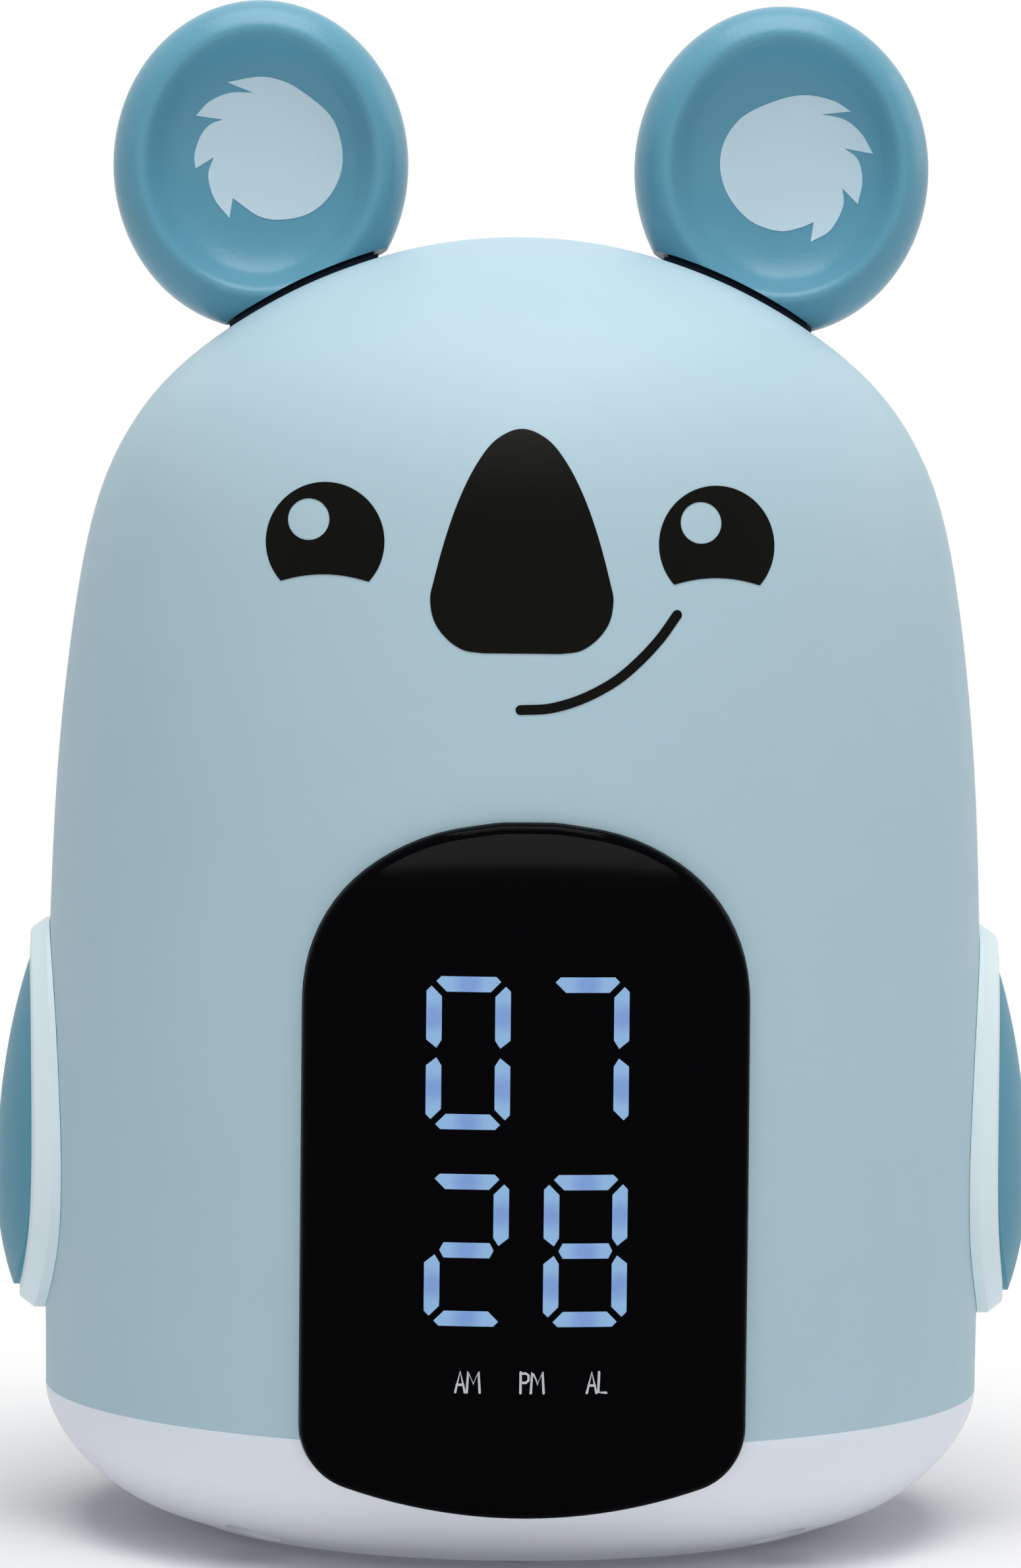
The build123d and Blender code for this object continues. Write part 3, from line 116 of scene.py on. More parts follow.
# ---- the words under the digits: strokes in a box one unit high ----------------------
LETTERS = {
    "A": (0.46, (((0.0, 0.0), (0.23, 1.0), (0.46, 0.0)), ((0.08, 0.36), (0.38, 0.36)))),
    "M": (0.62, (((0.0, 0.0), (0.06, 1.0), (0.31, 0.42), (0.56, 1.0), (0.62, 0.0)),)),
    "P": (0.42, (
        ((0.02, 0.0), (0.02, 1.0)),
        ((0.1, 0.95), (0.28, 0.95), (0.4, 0.85), (0.4, 0.62), (0.28, 0.5), (0.1, 0.5)),
    )),
    "L": (0.38, (((0.03, 1.0), (0.0, 0.03), (0.38, 0.0)),)),
}
WORDS = (("AM", -5.9), ("PM", 0.75), ("AL", 7.45))
WORD_BOTTOM = 21.45
LETTER_HEIGHT = 2.15
LETTER_SPACE = 0.2
LETTER_STROKE = 0.25

# ---- camera ----------------------------------------------------------------------
CAMERA_DISTANCE = 670.0
CAMERA_HEIGHT = 109.1
CAMERA_YAW = math.radians(1.6)
CAMERA_PITCH = 0.040
CAMERA_ROLL = 0.0098
CAMERA_LENS = 137.6
CAMERA_SENSOR = 36.0
PHOTO_HEIGHT = 2380
SHIFT_PIXELS = -8.4

# ---- light: each softbox with its place, target, width, height and radiance, in metres ----
WORLD_LEVEL = 0.15
SOFTBOXES = (
    ("key", (0.05, -0.65, 1.45), (0, 0, 0.1), 1.2, 0.9, 3.5),
    ("strip", (0.0, -1.5, 0.158), (0, 0, 0.1), 3.2, 0.05, 6.5),
    ("top", (0.0, 0.0, 1.3), (0, 0, 0.1), 1.0, 0.9, 3.4),
    ("right", (1.1, 0.42, 0.55), (0, 0, 0.09), 0.7, 0.7, 1.1),
)

# ---- floor: pale near the clock, white from the second distance on --------------------
FLOOR_RADIUS = 6000.0
FLOOR_PALE_TO = 65.0
FLOOR_WHITE_FROM = 160.0

# ---- the lit strokes: the lamp's own colour up to the first distance ------------------
LAMP_CORE = 0.4
LAMP_REACH = 2.1
MOTTLE_SHARE = 0.3
GLOW_STRENGTH = 0.92

# ---- films over the unlit strokes, found on the glass beside the digits ----------------
SAME_PLACE = 0.01
COVER_MARGIN = 0.16
COVER_LOOK = 17.0

# ---- dark rings in the gaps under the ears: painted shade that makes those gaps look dark ---
SHADE_RING_START = 0.05
SHADE_RING_REACH = 1.3
SHADE_RING_USUAL = 0.8
SHADE_RING_COLUMNS = 70
SHADE_RING_ROWS = 160
SHADE_RING_INSET = 0.5
INNER_SHADE_RING_INSET = 1.3
SHADE_RING_WIDTH = 0.5
SHADE_RING_SEAT = 0.02
SHADE_RING_FREE = 0.39


# ---- shader helpers ----------------------------------------------------------------
def srgb(red, green, blue):
    """Linear colour of 8-bit screen values."""
    def linear(value):
        share = value / 255
        return share / 12.92 if share <= 0.04045 else ((share + 0.055) / 1.055) ** 2.4
    return (linear(red), linear(green), linear(blue), 1.0)


def new_material(name):
    material = bpy.data.materials.new(name)
    material.use_nodes = True
    tree = material.node_tree
    shader = tree.nodes["Principled BSDF"]
    return material, tree, shader


def node(tree, kind, **inputs):
    made = tree.nodes.new(kind)
    for key, value in inputs.items():
        made.inputs[key.replace("_", " ").title()].default_value = value
    return made


def noise(tree, scale, detail=2.0, roughness=0.5):
    """Noise in the piece's own coordinates, scale in waves per metre."""
    place = tree.nodes.new("ShaderNodeTexCoord")
    made = node(tree, "ShaderNodeTexNoise", scale=scale, detail=detail, roughness=roughness)
    tree.links.new(place.outputs["Object"], made.inputs["Vector"])
    return made.outputs["Fac"]


def span(tree, value, low, high):
    """A 0-1 value carried to low-high."""
    made = tree.nodes.new("ShaderNodeMapRange")
    made.inputs["To Min"].default_value = low
    made.inputs["To Max"].default_value = high
    tree.links.new(value, made.inputs["Value"])
    return made.outputs["Result"]


def fade(tree, value, low, high):
    """0 up to low, 1 from high on, and smooth between, both in millimetres."""
    made = tree.nodes.new("ShaderNodeMapRange")
    made.interpolation_type = "SMOOTHSTEP"
    made.inputs["From Min"].default_value = low * MM
    made.inputs["From Max"].default_value = high * MM
    tree.links.new(value, made.inputs["Value"])
    return made.outputs["Result"]


def combined(tree, operation, first, second):
    made = tree.nodes.new("ShaderNodeMath")
    made.operation = operation
    tree.links.new(first, made.inputs[0])
    tree.links.new(second, made.inputs[1])
    return made.outputs["Value"]


def seen_by_eye(tree):
    """1 for rays from the camera, and for those it sees in a gloss or through a glass."""
    ray = tree.nodes.new("ShaderNodeLightPath")
    seen = ray.outputs["Is Camera Ray"]
    for kind in ("Is Glossy Ray", "Is Transmission Ray"):
        seen = combined(tree, "MAXIMUM", seen, ray.outputs[kind])
    return seen


def blend_colours(tree, factor, first, second):
    """Two colours mixed. The factor and each colour are a value or a socket."""
    made = tree.nodes.new("ShaderNodeMix")
    made.data_type = "RGBA"
    colours = [one for one in made.inputs if one.type == "RGBA"]
    for target, given in zip((made.inputs["Factor"], *colours), (factor, first, second)):
        if isinstance(given, bpy.types.NodeSocket):
            tree.links.new(given, target)
        else:
            target.default_value = given
    return [one for one in made.outputs if one.type == "RGBA"][0]


def tinted(colour, amount):
    """The colour made lighter (amount above 0) or darker."""
    return tuple(min(1.0, channel * (1 + amount)) for channel in colour[:3]) + (1.0,)


def moulded(name, colour, roughness=0.42, grain=2200.0, depth=0.012, tone=0.03, **constants):
    """Moulded plastic or rubber: even colour with a faint drift, and a fine grain."""
    material, tree, shader = new_material(name)
    drift = noise(tree, 55.0, 3.0)
    base = blend_colours(tree, drift, tinted(colour, -tone), tinted(colour, tone))
    tree.links.new(base, shader.inputs["Base Color"])
    rub = noise(tree, grain / 9, 4.0, 0.6)
    worn = span(tree, rub, roughness * (1 - WEAR), roughness * (1 + WEAR))
    tree.links.new(worn, shader.inputs["Roughness"])
    add_bump(tree, shader, noise(tree, grain, 2.0), depth)
    for socket, value in constants.items():
        shader.inputs[socket.replace("_", " ")].default_value = value
    return material


def add_bump(tree, shader, height, depth):
    """Bump of a depth in millimetres."""
    bump = tree.nodes.new("ShaderNodeBump")
    bump.inputs["Strength"].default_value = 1.0
    bump.inputs["Distance"].default_value = depth * MM
    tree.links.new(height, bump.inputs["Height"])
    tree.links.new(bump.outputs["Normal"], shader.inputs["Normal"])


def metal(name, colour, roughness=0.32, lines=900.0):
    material, tree, shader = new_material(name)
    shader.inputs["Metallic"].default_value = 1.0
    streaks = noise(tree, lines, 5.0, 0.7)
    base = blend_colours(tree, streaks, tinted(colour, -0.12), tinted(colour, 0.08))
    tree.links.new(base, shader.inputs["Base Color"])
    tree.links.new(span(tree, streaks, roughness - 0.1, roughness + 0.12), shader.inputs["Roughness"])
    add_bump(tree, shader, streaks, 0.008)
    return material


def circuit(name, colour):
    """Solder mask over a lattice of tracks that just show through."""
    material, tree, shader = new_material(name)
    place = tree.nodes.new("ShaderNodeTexCoord")
    cells = node(tree, "ShaderNodeTexBrick", scale=260.0)
    cells.inputs["Color1"].default_value = tinted(colour, 0.25)
    cells.inputs["Color2"].default_value = colour
    cells.inputs["Mortar"].default_value = tinted(colour, -0.35)
    tree.links.new(place.outputs["Object"], cells.inputs["Vector"])
    tree.links.new(cells.outputs["Color"], shader.inputs["Base Color"])
    tree.links.new(span(tree, noise(tree, 400.0), 0.28, 0.45), shader.inputs["Roughness"])
    add_bump(tree, shader, cells.outputs["Fac"], 0.02)
    return material


def islands(obj):
    """The corners of each loose piece of a mesh, in metres."""
    mesh = bmesh.new()
    mesh.from_mesh(obj.data)
    bmesh.ops.remove_doubles(mesh, verts=mesh.verts[:], dist=SAME_PLACE * MM)
    left = set(mesh.verts)
    found = []
    for start in mesh.verts:
        if start not in left:
            continue
        left.remove(start)
        stack = [start]
        corners = []
        while stack:
            vert = stack.pop()
            corners.append(vert.co.copy())
            for edge in vert.link_edges:
                other = edge.other_vert(vert)
                if other in left:
                    left.remove(other)
                    stack.append(other)
        found.append(corners)
    mesh.free()
    return found


def island_centres(obj):
    """Middle of each loose piece of a mesh as seen from the front, in metres."""
    centres = []
    for corners in islands(obj):
        low = [min(corner[axis] for corner in corners) for axis in range(3)]
        high = [max(corner[axis] for corner in corners) for axis in range(3)]
        centres.append(Vector(((low[0] + high[0]) / 2, 0, (low[2] + high[2]) / 2)))
    return centres


def glow(name, centres):
    """Lit strokes: pale blue ends, and a violet-blue middle over each lamp."""
    material, tree, shader = new_material(name)
    place = tree.nodes.new("ShaderNodeTexCoord")
    split = tree.nodes.new("ShaderNodeSeparateXYZ")
    flat = tree.nodes.new("ShaderNodeCombineXYZ")
    tree.links.new(place.outputs["Object"], split.inputs["Vector"])
    for axis in ("X", "Z"):
        tree.links.new(split.outputs[axis], flat.inputs[axis])
    nearest = None
    for centre in centres:
        gap = tree.nodes.new("ShaderNodeVectorMath")
        gap.operation = "DISTANCE"
        tree.links.new(flat.outputs["Vector"], gap.inputs[0])
        gap.inputs[1].default_value = centre
        distance = gap.outputs["Value"]
        if nearest is not None:
            distance = combined(tree, "MINIMUM", nearest, distance)
        nearest = distance
    away = fade(tree, nearest, LAMP_CORE, LAMP_REACH)
    light = blend_colours(tree, away, srgb(122, 154, 212), srgb(147, 188, 226))
    mottle = blend_colours(tree, noise(tree, 700.0, 3.0), srgb(112, 148, 208), srgb(150, 184, 228))
    mixed = blend_colours(tree, MOTTLE_SHARE, light, mottle)
    tree.links.new(mixed, shader.inputs["Emission Color"])
    shader.inputs["Emission Strength"].default_value = GLOW_STRENGTH
    shader.inputs["Base Color"].default_value = srgb(20, 24, 34)
    shader.inputs["Roughness"].default_value = 0.25
    shader.inputs["Specular IOR Level"].default_value = 0.1
    return material


# ---- materials: one for each slot of the record, then the three prints ----------------
def make_materials():
    return {
        "body_plastic": moulded("body_plastic", srgb(177, 204, 215), 0.5, 1500.0, 0.006,
                                Specular_IOR_Level=0.22),
        "diffuser_plastic": moulded("diffuser_plastic", srgb(226, 230, 238), 0.42, 1300.0, 0.006,
                                    Specular_IOR_Level=0.3, Emission_Strength=0.07,
                                    Emission_Color=srgb(238, 242, 255),
                                    Subsurface_Weight=0.15, Subsurface_Scale=0.004),
        "foot_rubber": moulded("foot_rubber", srgb(120, 124, 130), 0.8, 3000.0, 0.03),
        "screw_steel": metal("screw_steel", srgb(172, 172, 176)),
        # The stems are coloured dark navy as painted shade, since they show in the shaded gaps under
        # the ears.
        "stem_plastic": moulded("stem_plastic", srgb(16, 26, 40), 0.7, 1800.0, 0.01,
                                Specular_IOR_Level=0.1),
        "inner_plastic": moulded("inner_plastic", srgb(222, 224, 226), 0.5, 1800.0, 0.01),
        "cell_jacket": moulded("cell_jacket", srgb(58, 66, 80), 0.25, 900.0, 0.004),
        "spring_steel": metal("spring_steel", srgb(202, 202, 206), 0.22, 1400.0),
        "circuit_board": circuit("circuit_board", srgb(24, 96, 60)),
        "lamp_plastic": moulded("lamp_plastic", srgb(246, 240, 214), 0.2, 1200.0, 0.004),
        "chip_black": moulded("chip_black", srgb(34, 34, 36), 0.55, 3200.0, 0.01),
        "window_gloss": moulded("window_gloss", srgb(1, 1, 3), 0.035, 420.0, 0.0001,
                                Specular_IOR_Level=0.025),
        "tape_black": moulded("tape_black", srgb(30, 30, 30), 0.9, 2600.0, 0.05),
        "digit_glow": glow("digit_glow", island_centres(nodes["digits_lit"])),
        "digit_dark": moulded("digit_dark", srgb(1, 1, 3), 0.035, 420.0, 0.0001,
                              Specular_IOR_Level=0.025),
        "reflector_plastic": moulded("reflector_plastic", srgb(20, 20, 22), 0.7, 2000.0, 0.01),
        "cable_plastic": moulded("cable_plastic", srgb(224, 222, 214), 0.35, 700.0, 0.02),
        "panel_plastic": moulded("panel_plastic", srgb(163, 191, 203), 0.5, 2600.0, 0.02),
        "switch_plastic": moulded("switch_plastic", srgb(40, 41, 43), 0.5, 2400.0, 0.01),
        "knob_plastic": moulded("knob_plastic", srgb(96, 152, 175), 0.42, 2200.0, 0.01),
        "speaker_steel": moulded("speaker_steel", srgb(70, 70, 72), 0.35, 1600.0, 0.006,
                                 Metallic=0.7),
        "cone_paper": moulded("cone_paper", srgb(52, 50, 48), 0.85, 1800.0, 0.06),
        "button_plastic": moulded("button_plastic", srgb(96, 152, 175), 0.4, 2200.0, 0.008),
        "ear_plastic": moulded("ear_plastic", srgb(94, 156, 179), 0.32, 1500.0, 0.035,
                               Specular_IOR_Level=0.3),
        "arm_rim_plastic": moulded("arm_rim_plastic", srgb(226, 242, 246), 0.45, 1700.0, 0.008,
                                   Specular_IOR_Level=0.3),
        "arm_pad_plastic": moulded("arm_pad_plastic", srgb(86, 148, 170), 0.45, 1700.0, 0.008,
                                   Specular_IOR_Level=0.15),
        "face_print": moulded("face_print", srgb(7, 7, 4), 0.4, 4200.0, 0.008, 0.1,
                              Specular_IOR_Level=0.06),
        "tuft_print": moulded("tuft_print", srgb(203, 226, 237), 0.44, 2400.0, 0.035),
        "word_print": moulded("word_print", srgb(196, 200, 206), 0.5, 3000.0, 0.004),
    }


def dress_nodes(materials):
    for name, obj in nodes.items():
        obj.data.materials.clear()
        obj.data.materials.append(materials[slots[name]])


# ---- outlines --------------------------------------------------------------------
def smooth(points, steps=6):
    """A curve through the points (Catmull-Rom)."""
    if len(points) < 3:
        return list(points)
    ends = [tuple(2 * a - b for a, b in zip(points[0], points[1]))]
    tail = [tuple(2 * a - b for a, b in zip(points[-1], points[-2]))]
    padded = ends + list(points) + tail
    curve = []
    for before, start, end, after in zip(padded, padded[1:], padded[2:], padded[3:]):
        for step in range(steps):
            share = step / steps
            curve.append(tuple(
                0.5 * (2 * b + (c - a) * share + (2 * a - 5 * b + 4 * c - d) * share ** 2
                       + (3 * b - a - 3 * c + d) * share ** 3)
                for a, b, c, d in zip(before, start, end, after)
            ))
    return curve + [points[-1]]


def arc(centre, radius, start, end, steps):
    """Points on a circle from one angle to another, both included."""
    points = []
    for step in range(steps + 1):
        turn = start + (end - start) * step / steps
        points.append((centre[0] + radius * math.cos(turn), centre[1] + radius * math.sin(turn)))
    return points


def eye_outline(side):
    """A disc whose foot is cut off by a shallow arch."""
    centre = (FACE_X + side * EYE_SPREAD, EYE_Z)
    drop = EYE_Z - EYE_CUT_Z
    corner = math.atan2(-drop, EYE_CUT_HALF)
    disc = arc(centre, EYE_RADIUS, corner, math.pi - corner, 64)
    arch_radius = (EYE_CUT_HALF ** 2 + EYE_CUT_RISE ** 2) / (2 * EYE_CUT_RISE)
    arch_centre = (centre[0], EYE_CUT_Z + EYE_CUT_RISE - arch_radius)
    half = math.asin(EYE_CUT_HALF / arch_radius)
    arch = arc(arch_centre, arch_radius, math.pi / 2 + half, math.pi / 2 - half, 16)
    return disc + arch[1:-1]


def glint_outline(side):
    centre = (FACE_X + side * EYE_SPREAD + GLINT_OFFSET[0], EYE_Z + GLINT_OFFSET[1])
    return arc(centre, GLINT_RADIUS, 0, math.tau, 40)[:-1]


def nose_outline():
    mirrored = [(-x, z) for x, z in reversed(NOSE_HALF[1:])]
    curve = smooth(mirrored + list(NOSE_HALF))
    return [(FACE_X + x, z) for x, z in curve]


def stroke_outline(points, width, cap_steps=8):
    """The outline of a pen stroke with round ends along a line."""
    left, right = [], []
    for index, (x, z) in enumerate(points):
        before = points[max(index - 1, 0)]
        after = points[min(index + 1, len(points) - 1)]
        along = Vector((after[0] - before[0], after[1] - before[1])).normalized()
        side = Vector((-along.y, along.x)) * width / 2
        left.append((x + side.x, z + side.y))
        right.append((x - side.x, z - side.y))
    caps = []
    for end, other in ((points[-1], points[-2]), (points[0], points[1])):
        heading = math.atan2(end[1] - other[1], end[0] - other[0])
        caps.append(arc(end, width / 2, heading - math.pi / 2, heading + math.pi / 2, cap_steps))
    return right + caps[0][1:-1] + left[::-1] + caps[1][1:-1]


def tuft_outline(runs, side):
    points = []
    for run in runs:
        points += smooth(run)[:-1]
    return [(side * EAR_X + x, EAR_Z + z) for x, z in points]


# ---- thin prints that follow a surface ----------------------------------------------------
def surface_of(*names):
    """The nodes' faces together, for casting rays at them."""
    corners, faces = [], []
    for name in names:
        data = nodes[name].data
        first = len(corners)
        corners += [vert.co.copy() for vert in data.vertices]
        faces += [[first + index for index in face.vertices] for face in data.polygons]
    return BVHTree.FromPolygons(corners, faces)


def front_of(name):
    """A finder of a node's front and its outward direction at (x, z)."""
    surface = surface_of(name)

    def front_at(x, z):
        hit, normal, _, _ = surface.ray_cast(Vector((x, -1.0, z)), Vector((0, 1, 0)))
        return hit, normal if normal.y < 0 else -normal
    return front_at


def turned_front_of(name):
    """The same for a turned surface with holes: looked up beside the holes and turned back."""
    front_at = front_of(name)

    def turned_at(x, z):
        beside, normal = front_at(COVER_LOOK * MM, z)
        radius = math.hypot(beside.x, beside.y)
        across = math.hypot(normal.x, normal.y)
        y = -math.sqrt(radius ** 2 - x ** 2)
        return Vector((x, y, z)), Vector((x / radius * across, y / radius * across, normal.z))
    return turned_at


def object_of(mesh, name):
    data = bpy.data.meshes.new(name)
    mesh.to_mesh(data)
    mesh.free()
    made = bpy.data.objects.new(name, data)
    scene.collection.objects.link(made)
    return made


def laid_print(name, loops, front_at, grid=PRINT_GRID):
    """A thin layer with these outlines, (x, z) in millimetres, laid on a surface from the front."""
    mesh = bmesh.new()
    edges = []
    for loop in loops:
        ring = [mesh.verts.new((x * MM, 0, z * MM)) for x, z in loop]
        edges += [mesh.edges.new((a, b)) for a, b in zip(ring, ring[1:] + ring[:1])]
    bmesh.ops.triangle_fill(mesh, edges=edges, use_beauty=True, normal=(0, -1, 0))
    for axis in (0, 2):
        values = [vert.co[axis] for vert in mesh.verts]
        lines = int((max(values) - min(values)) / (grid * MM))
        for line in range(1, lines + 1):
            point = [0.0, 0.0, 0.0]
            point[axis] = min(values) + line * grid * MM
            normal = [0.0, 0.0, 0.0]
            normal[axis] = 1.0
            parts = mesh.verts[:] + mesh.edges[:] + mesh.faces[:]
            bmesh.ops.bisect_plane(mesh, geom=parts, dist=CUT_TOLERANCE * MM,
                                   plane_co=point, plane_no=normal)
    for vert in mesh.verts:
        place, outward = front_at(vert.co.x, vert.co.z)
        vert.co = place + outward * PRINT_LIFT * MM
    bmesh.ops.recalc_face_normals(mesh, faces=mesh.faces[:])
    if sum(face.normal.y for face in mesh.faces) > 0:
        bmesh.ops.reverse_faces(mesh, faces=mesh.faces[:])
    for face in mesh.faces:
        face.smooth = True
    piece = object_of(mesh, name)
    layer = piece.modifiers.new("layer", "SOLIDIFY")
    layer.thickness = PRINT_THICKNESS * MM
    layer.offset = -1.0
    layer.use_even_offset = False
    rim = piece.modifiers.new("rim", "EDGE_SPLIT")
    rim.split_angle = math.radians(RIM_ANGLE)
    return piece


def finish_piece(piece, body, material):
    piece.data.materials.append(material)
    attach(piece, body)


def make_face(materials):
    front_at = front_of("dome_shell")
    for side, word in ((-1, "left"), (1, "right")):
        eye = laid_print(f"eye_print_{word}", [eye_outline(side), glint_outline(side)], front_at)
        finish_piece(eye, "body", materials["face_print"])
    nose = laid_print("nose_print", [nose_outline()], front_at)
    finish_piece(nose, "body", materials["face_print"])
    line = [(FACE_X + x, z) for x, z in smooth(SMILE)]
    smile = laid_print("smile_print", [stroke_outline(line, SMILE_WIDTH)], front_at)
    finish_piece(smile, "body", materials["face_print"])


def make_tufts(materials):
    for side, word, runs in ((-1, "left", LEFT_TUFT), (1, "right", RIGHT_TUFT)):
        front_at = front_of(f"ear_{word}_shell")
        tuft = laid_print(f"ear_tuft_{word}", [tuft_outline(runs, side)], front_at, TUFT_GRID)
        finish_piece(tuft, f"ear_{word}", materials["tuft_print"])


def make_words(materials):
    """The small AM, PM and AL marks on the window."""
    front_at = front_of("display_window")
    for word, middle in WORDS:
        widths = [LETTERS[letter][0] * LETTER_HEIGHT for letter in word]
        x = middle - (sum(widths) + LETTER_SPACE * (len(word) - 1)) / 2
        for letter, width in zip(word, widths):
            for index, stroke in enumerate(LETTERS[letter][1]):
                line = [(x + across * LETTER_HEIGHT, WORD_BOTTOM + up * LETTER_HEIGHT)
                        for across, up in stroke]
                name = f"mark_{word}_{letter}_{index}"
                piece = laid_print(name, [stroke_outline(line, LETTER_STROKE)], front_at)
                finish_piece(piece, "body", materials["word_print"])
            x += width + LETTER_SPACE


def hull(points):
    """The corners of the tightest convex outline round some (x, z) points, in order."""
    ordered = sorted(set(points))
    rims = []
    for run in (ordered, ordered[::-1]):
        rim = []
        for point in run:
            while len(rim) > 1 and turn_of(rim[-2], rim[-1], point) <= 0:
                rim.pop()
            rim.append(point)
        rims += rim[:-1]
    return rims


def turn_of(first, middle, last):
    """Above zero where the way first-middle-last turns left."""
    return ((middle[0] - first[0]) * (last[1] - first[1])
            - (middle[1] - first[1]) * (last[0] - first[0]))


def make_stroke_covers(materials):
    """Black film over the unlit strokes, so that the glass looks unbroken where no light shows."""
    front_at = turned_front_of("display_window")
    for index, corners in enumerate(islands(nodes["digits_dark"])):
        outline = hull([(corner.x / MM, corner.z / MM) for corner in corners])
        middle = [sum(values) / len(outline) for values in zip(*outline)]
        grown = []
        for x, z in outline:
            away = Vector((x - middle[0], z - middle[1]))
            far = away + away.normalized() * COVER_MARGIN
            grown.append((middle[0] + far.x, middle[1] + far.y))
        cover = laid_print(f"stroke_cover_{index}", [grown], front_at)
        finish_piece(cover, "body", materials["window_gloss"])


def ring_wall(name, outline, width, low_at, high_at):
    """A closed wall along an (x, y) outline in metres, between two heights found at each place."""
    middle = [sum(values) / len(outline) for values in zip(*outline)]
    mesh = bmesh.new()
    rows = []
    for x, y in outline:
        inward = Vector((middle[0] - x, middle[1] - y)).normalized() * width * MM
        places = ((x, y), (x + inward.x, y + inward.y))
        corners = [(*place, low_at(*place)) for place in places]
        corners += [(*place, high_at(*place)) for place in reversed(places)]
        rows.append([mesh.verts.new(corner) for corner in corners])
    for row, after in zip(rows, rows[1:] + rows[:1]):
        for index in range(4):
            other = (index + 1) % 4
            mesh.faces.new((row[index], row[other], after[other], after[index]))
    bmesh.ops.recalc_face_normals(mesh, faces=mesh.faces[:])
    return object_of(mesh, name)


def foot_outline(foot_at, low, high, inset):
    """The outline of an ear's foot from above, moved inwards by inset, found by scanning."""
    columns = []
    for column in range(SHADE_RING_COLUMNS + 1):
        x = low[0] + (high[0] - low[0]) * column / SHADE_RING_COLUMNS
        rows = [low[1] + (high[1] - low[1]) * row / SHADE_RING_ROWS for row in range(SHADE_RING_ROWS + 1)]
        front = next((y for y in rows if foot_at(x, y)), None)
        if front is not None:
            back = next(y for y in reversed(rows) if foot_at(x, y))
            columns.append((x, front, back))
    start, end = columns[0][0] + inset, columns[-1][0] - inset
    kept = [(x, front + inset, back - inset) for x, front, back in columns
            if start < x < end and back - front > 2 * (inset + SHADE_RING_WIDTH * MM)]
    return [(x, front) for x, front, _ in kept] + [(x, back) for x, _, back in reversed(kept)]


def make_ear_gap_shade_rings(materials):
    """Two dark rings in the gap under each ear, one on the dome and one inside it on the ear: painted
    shade that makes the gap look dark.
    """
    dome = surface_of("dome_shell")

    def dome_at(x, y):
        hit = dome.ray_cast(Vector((x, y, cad_high[2])), Vector((0, 0, -1)))[0]
        return hit.z if hit else cad_low[2]

    for side in ("left", "right"):
        names = (f"ear_{side}_shell", f"ear_{side}_back")
        ear = surface_of(*names)
        corners = [vert.co for name in names for vert in nodes[name].data.vertices]
        low = [min(corner[axis] for corner in corners) for axis in (0, 1)]
        high = [max(corner[axis] for corner in corners) for axis in (0, 1)]

        def foot_at(x, y):
            start = Vector((x, y, dome_at(x, y) + SHADE_RING_START * MM))
            hit = ear.ray_cast(start, Vector((0, 0, 1)), SHADE_RING_REACH * MM)[0]
            return hit.z if hit else None

        def ring(part, body, inset, below, above):
            outline = foot_outline(foot_at, low, high, inset * MM)
            wall = ring_wall(
                f"ear_shade_ring_{side}_{part}", outline, SHADE_RING_WIDTH,
                lambda x, y: dome_at(x, y) + below * MM,
                lambda x, y: (foot_at(x, y) or dome_at(x, y) + SHADE_RING_USUAL * MM) - above * MM,
            )
            # The rings take the dark stem colour: painted shade in the gap under the ear.
            finish_piece(wall, body, materials["stem_plastic"])

        ring("outer", "body", SHADE_RING_INSET, SHADE_RING_SEAT, SHADE_RING_FREE)
        ring("inner", f"ear_{side}", INNER_SHADE_RING_INSET, SHADE_RING_FREE, SHADE_RING_SEAT)


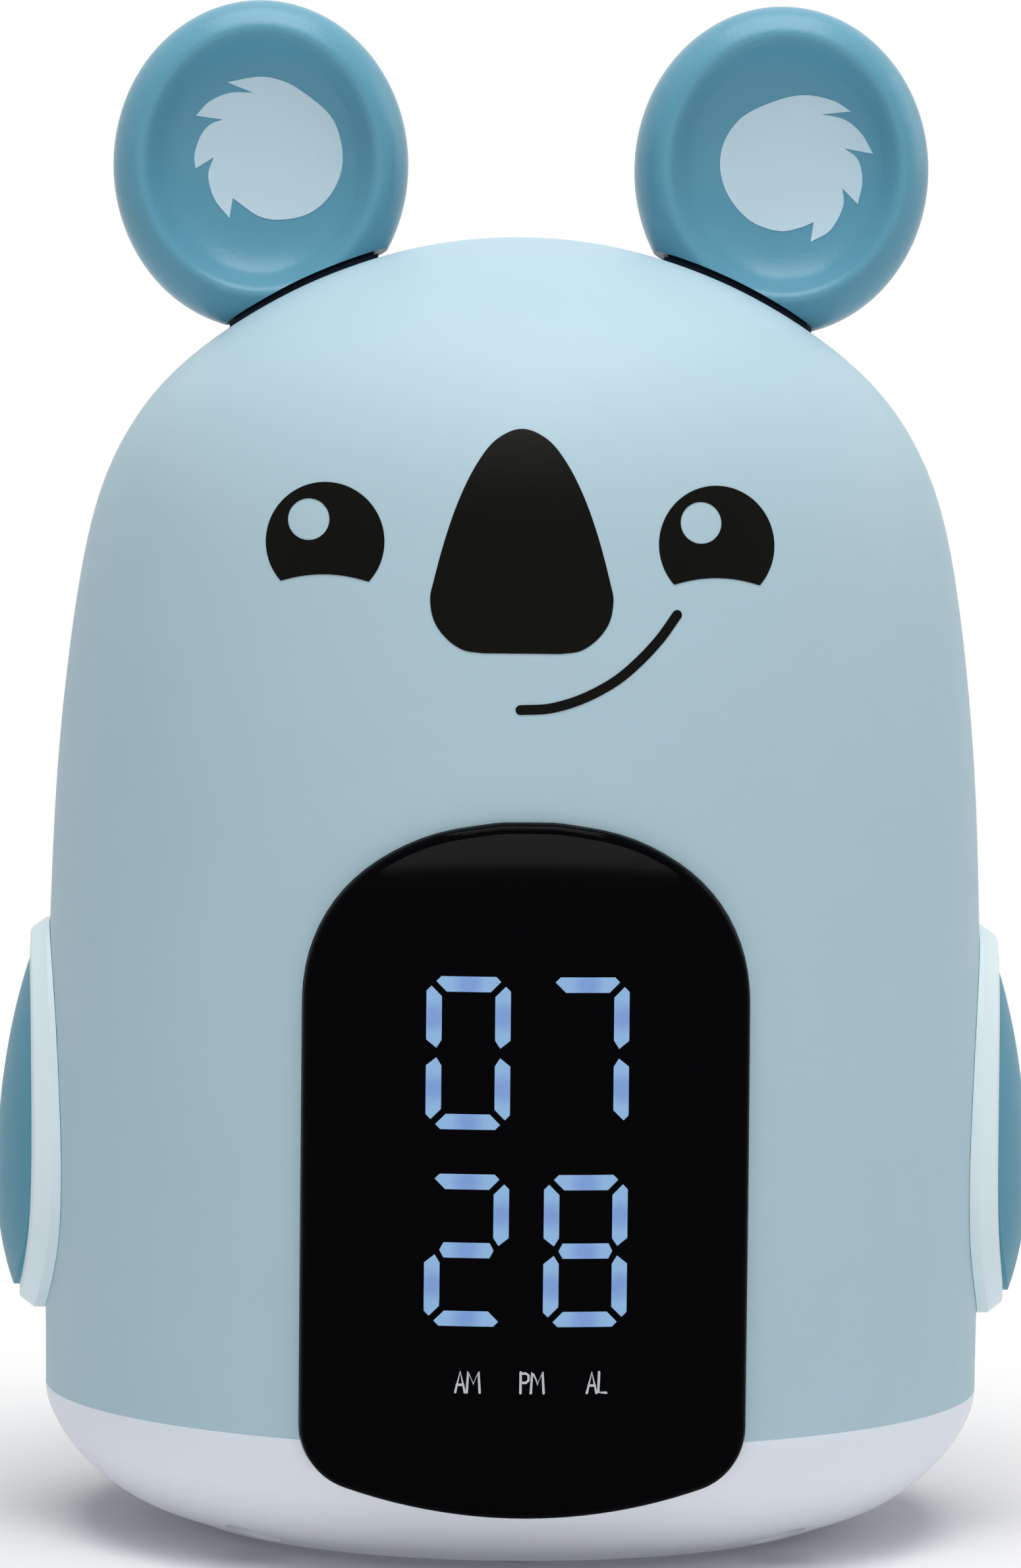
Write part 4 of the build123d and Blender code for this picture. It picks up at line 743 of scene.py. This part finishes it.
# ---- floor, light and camera -----------------------------------------------------------
def make_floor():
    """Pale floor round the clock that turns into the white background further out."""
    bpy.ops.mesh.primitive_circle_add(vertices=96, radius=FLOOR_RADIUS * MM, fill_type="NGON")
    floor = bpy.context.object
    floor.name = "floor"
    material, tree, shader = new_material("floor")
    shader.inputs["Base Color"].default_value = (0.86, 0.86, 0.87, 1.0)
    shader.inputs["Roughness"].default_value = 0.75
    shader.inputs["Specular IOR Level"].default_value = 0.15
    white = tree.nodes.new("ShaderNodeEmission")
    white.inputs["Color"].default_value = (1, 1, 1, 1)
    place = tree.nodes.new("ShaderNodeTexCoord")
    length = tree.nodes.new("ShaderNodeVectorMath")
    length.operation = "LENGTH"
    tree.links.new(place.outputs["Object"], length.inputs[0])
    far = fade(tree, length.outputs["Value"], FLOOR_PALE_TO, FLOOR_WHITE_FROM)
    mix = tree.nodes.new("ShaderNodeMixShader")
    tree.links.new(combined(tree, "MULTIPLY", far, seen_by_eye(tree)), mix.inputs["Fac"])
    tree.links.new(shader.outputs["BSDF"], mix.inputs[1])
    tree.links.new(white.outputs["Emission"], mix.inputs[2])
    tree.links.new(mix.outputs["Shader"], tree.nodes["Material Output"].inputs["Surface"])
    floor.data.materials.append(material)


def make_world():
    """White where the camera or a reflection sees it, and a soft even light elsewhere."""
    world = bpy.data.worlds.new("studio")
    scene.world = world
    world.use_nodes = True
    tree = world.node_tree
    back = tree.nodes["Background"]
    back.inputs["Color"].default_value = (1, 1, 1, 1)
    tree.links.new(span(tree, seen_by_eye(tree), WORLD_LEVEL, 1.0), back.inputs["Strength"])


def softbox(name, place, target, width, height, radiance):
    """A rectangular lamp with a set brightness, turned to its target."""
    light = bpy.data.lights.new(name, "AREA")
    light.shape = "RECTANGLE"
    light.size = width
    light.size_y = height
    light.energy = radiance * width * height * math.pi
    lamp = bpy.data.objects.new(name, light)
    lamp.location = place
    lamp.rotation_euler = (Vector(target) - Vector(place)).to_track_quat("-Z", "Y").to_euler()
    scene.collection.objects.link(lamp)


def make_camera():
    data = bpy.data.cameras.new("camera")
    data.lens = CAMERA_LENS
    data.sensor_width = CAMERA_SENSOR
    data.shift_x = SHIFT_PIXELS / PHOTO_HEIGHT
    camera = bpy.data.objects.new("camera", data)
    away = CAMERA_DISTANCE * MM
    aside, ahead = math.sin(CAMERA_YAW), math.cos(CAMERA_YAW)
    camera.location = (-away * aside, -away * ahead, CAMERA_HEIGHT * MM)
    flat = math.cos(CAMERA_PITCH)
    forward = Vector((aside * flat, ahead * flat, -math.sin(CAMERA_PITCH)))
    turn = forward.to_track_quat("-Z", "Y") @ Quaternion((0, 0, 1), CAMERA_ROLL)
    camera.rotation_euler = turn.to_euler()
    scene.collection.objects.link(camera)
    scene.camera = camera


materials = make_materials()
dress_nodes(materials)
make_face(materials)
make_tufts(materials)
make_words(materials)
make_stroke_covers(materials)
make_ear_gap_shade_rings(materials)
make_floor()
make_world()
for box in SOFTBOXES:
    softbox(*box)
make_camera()
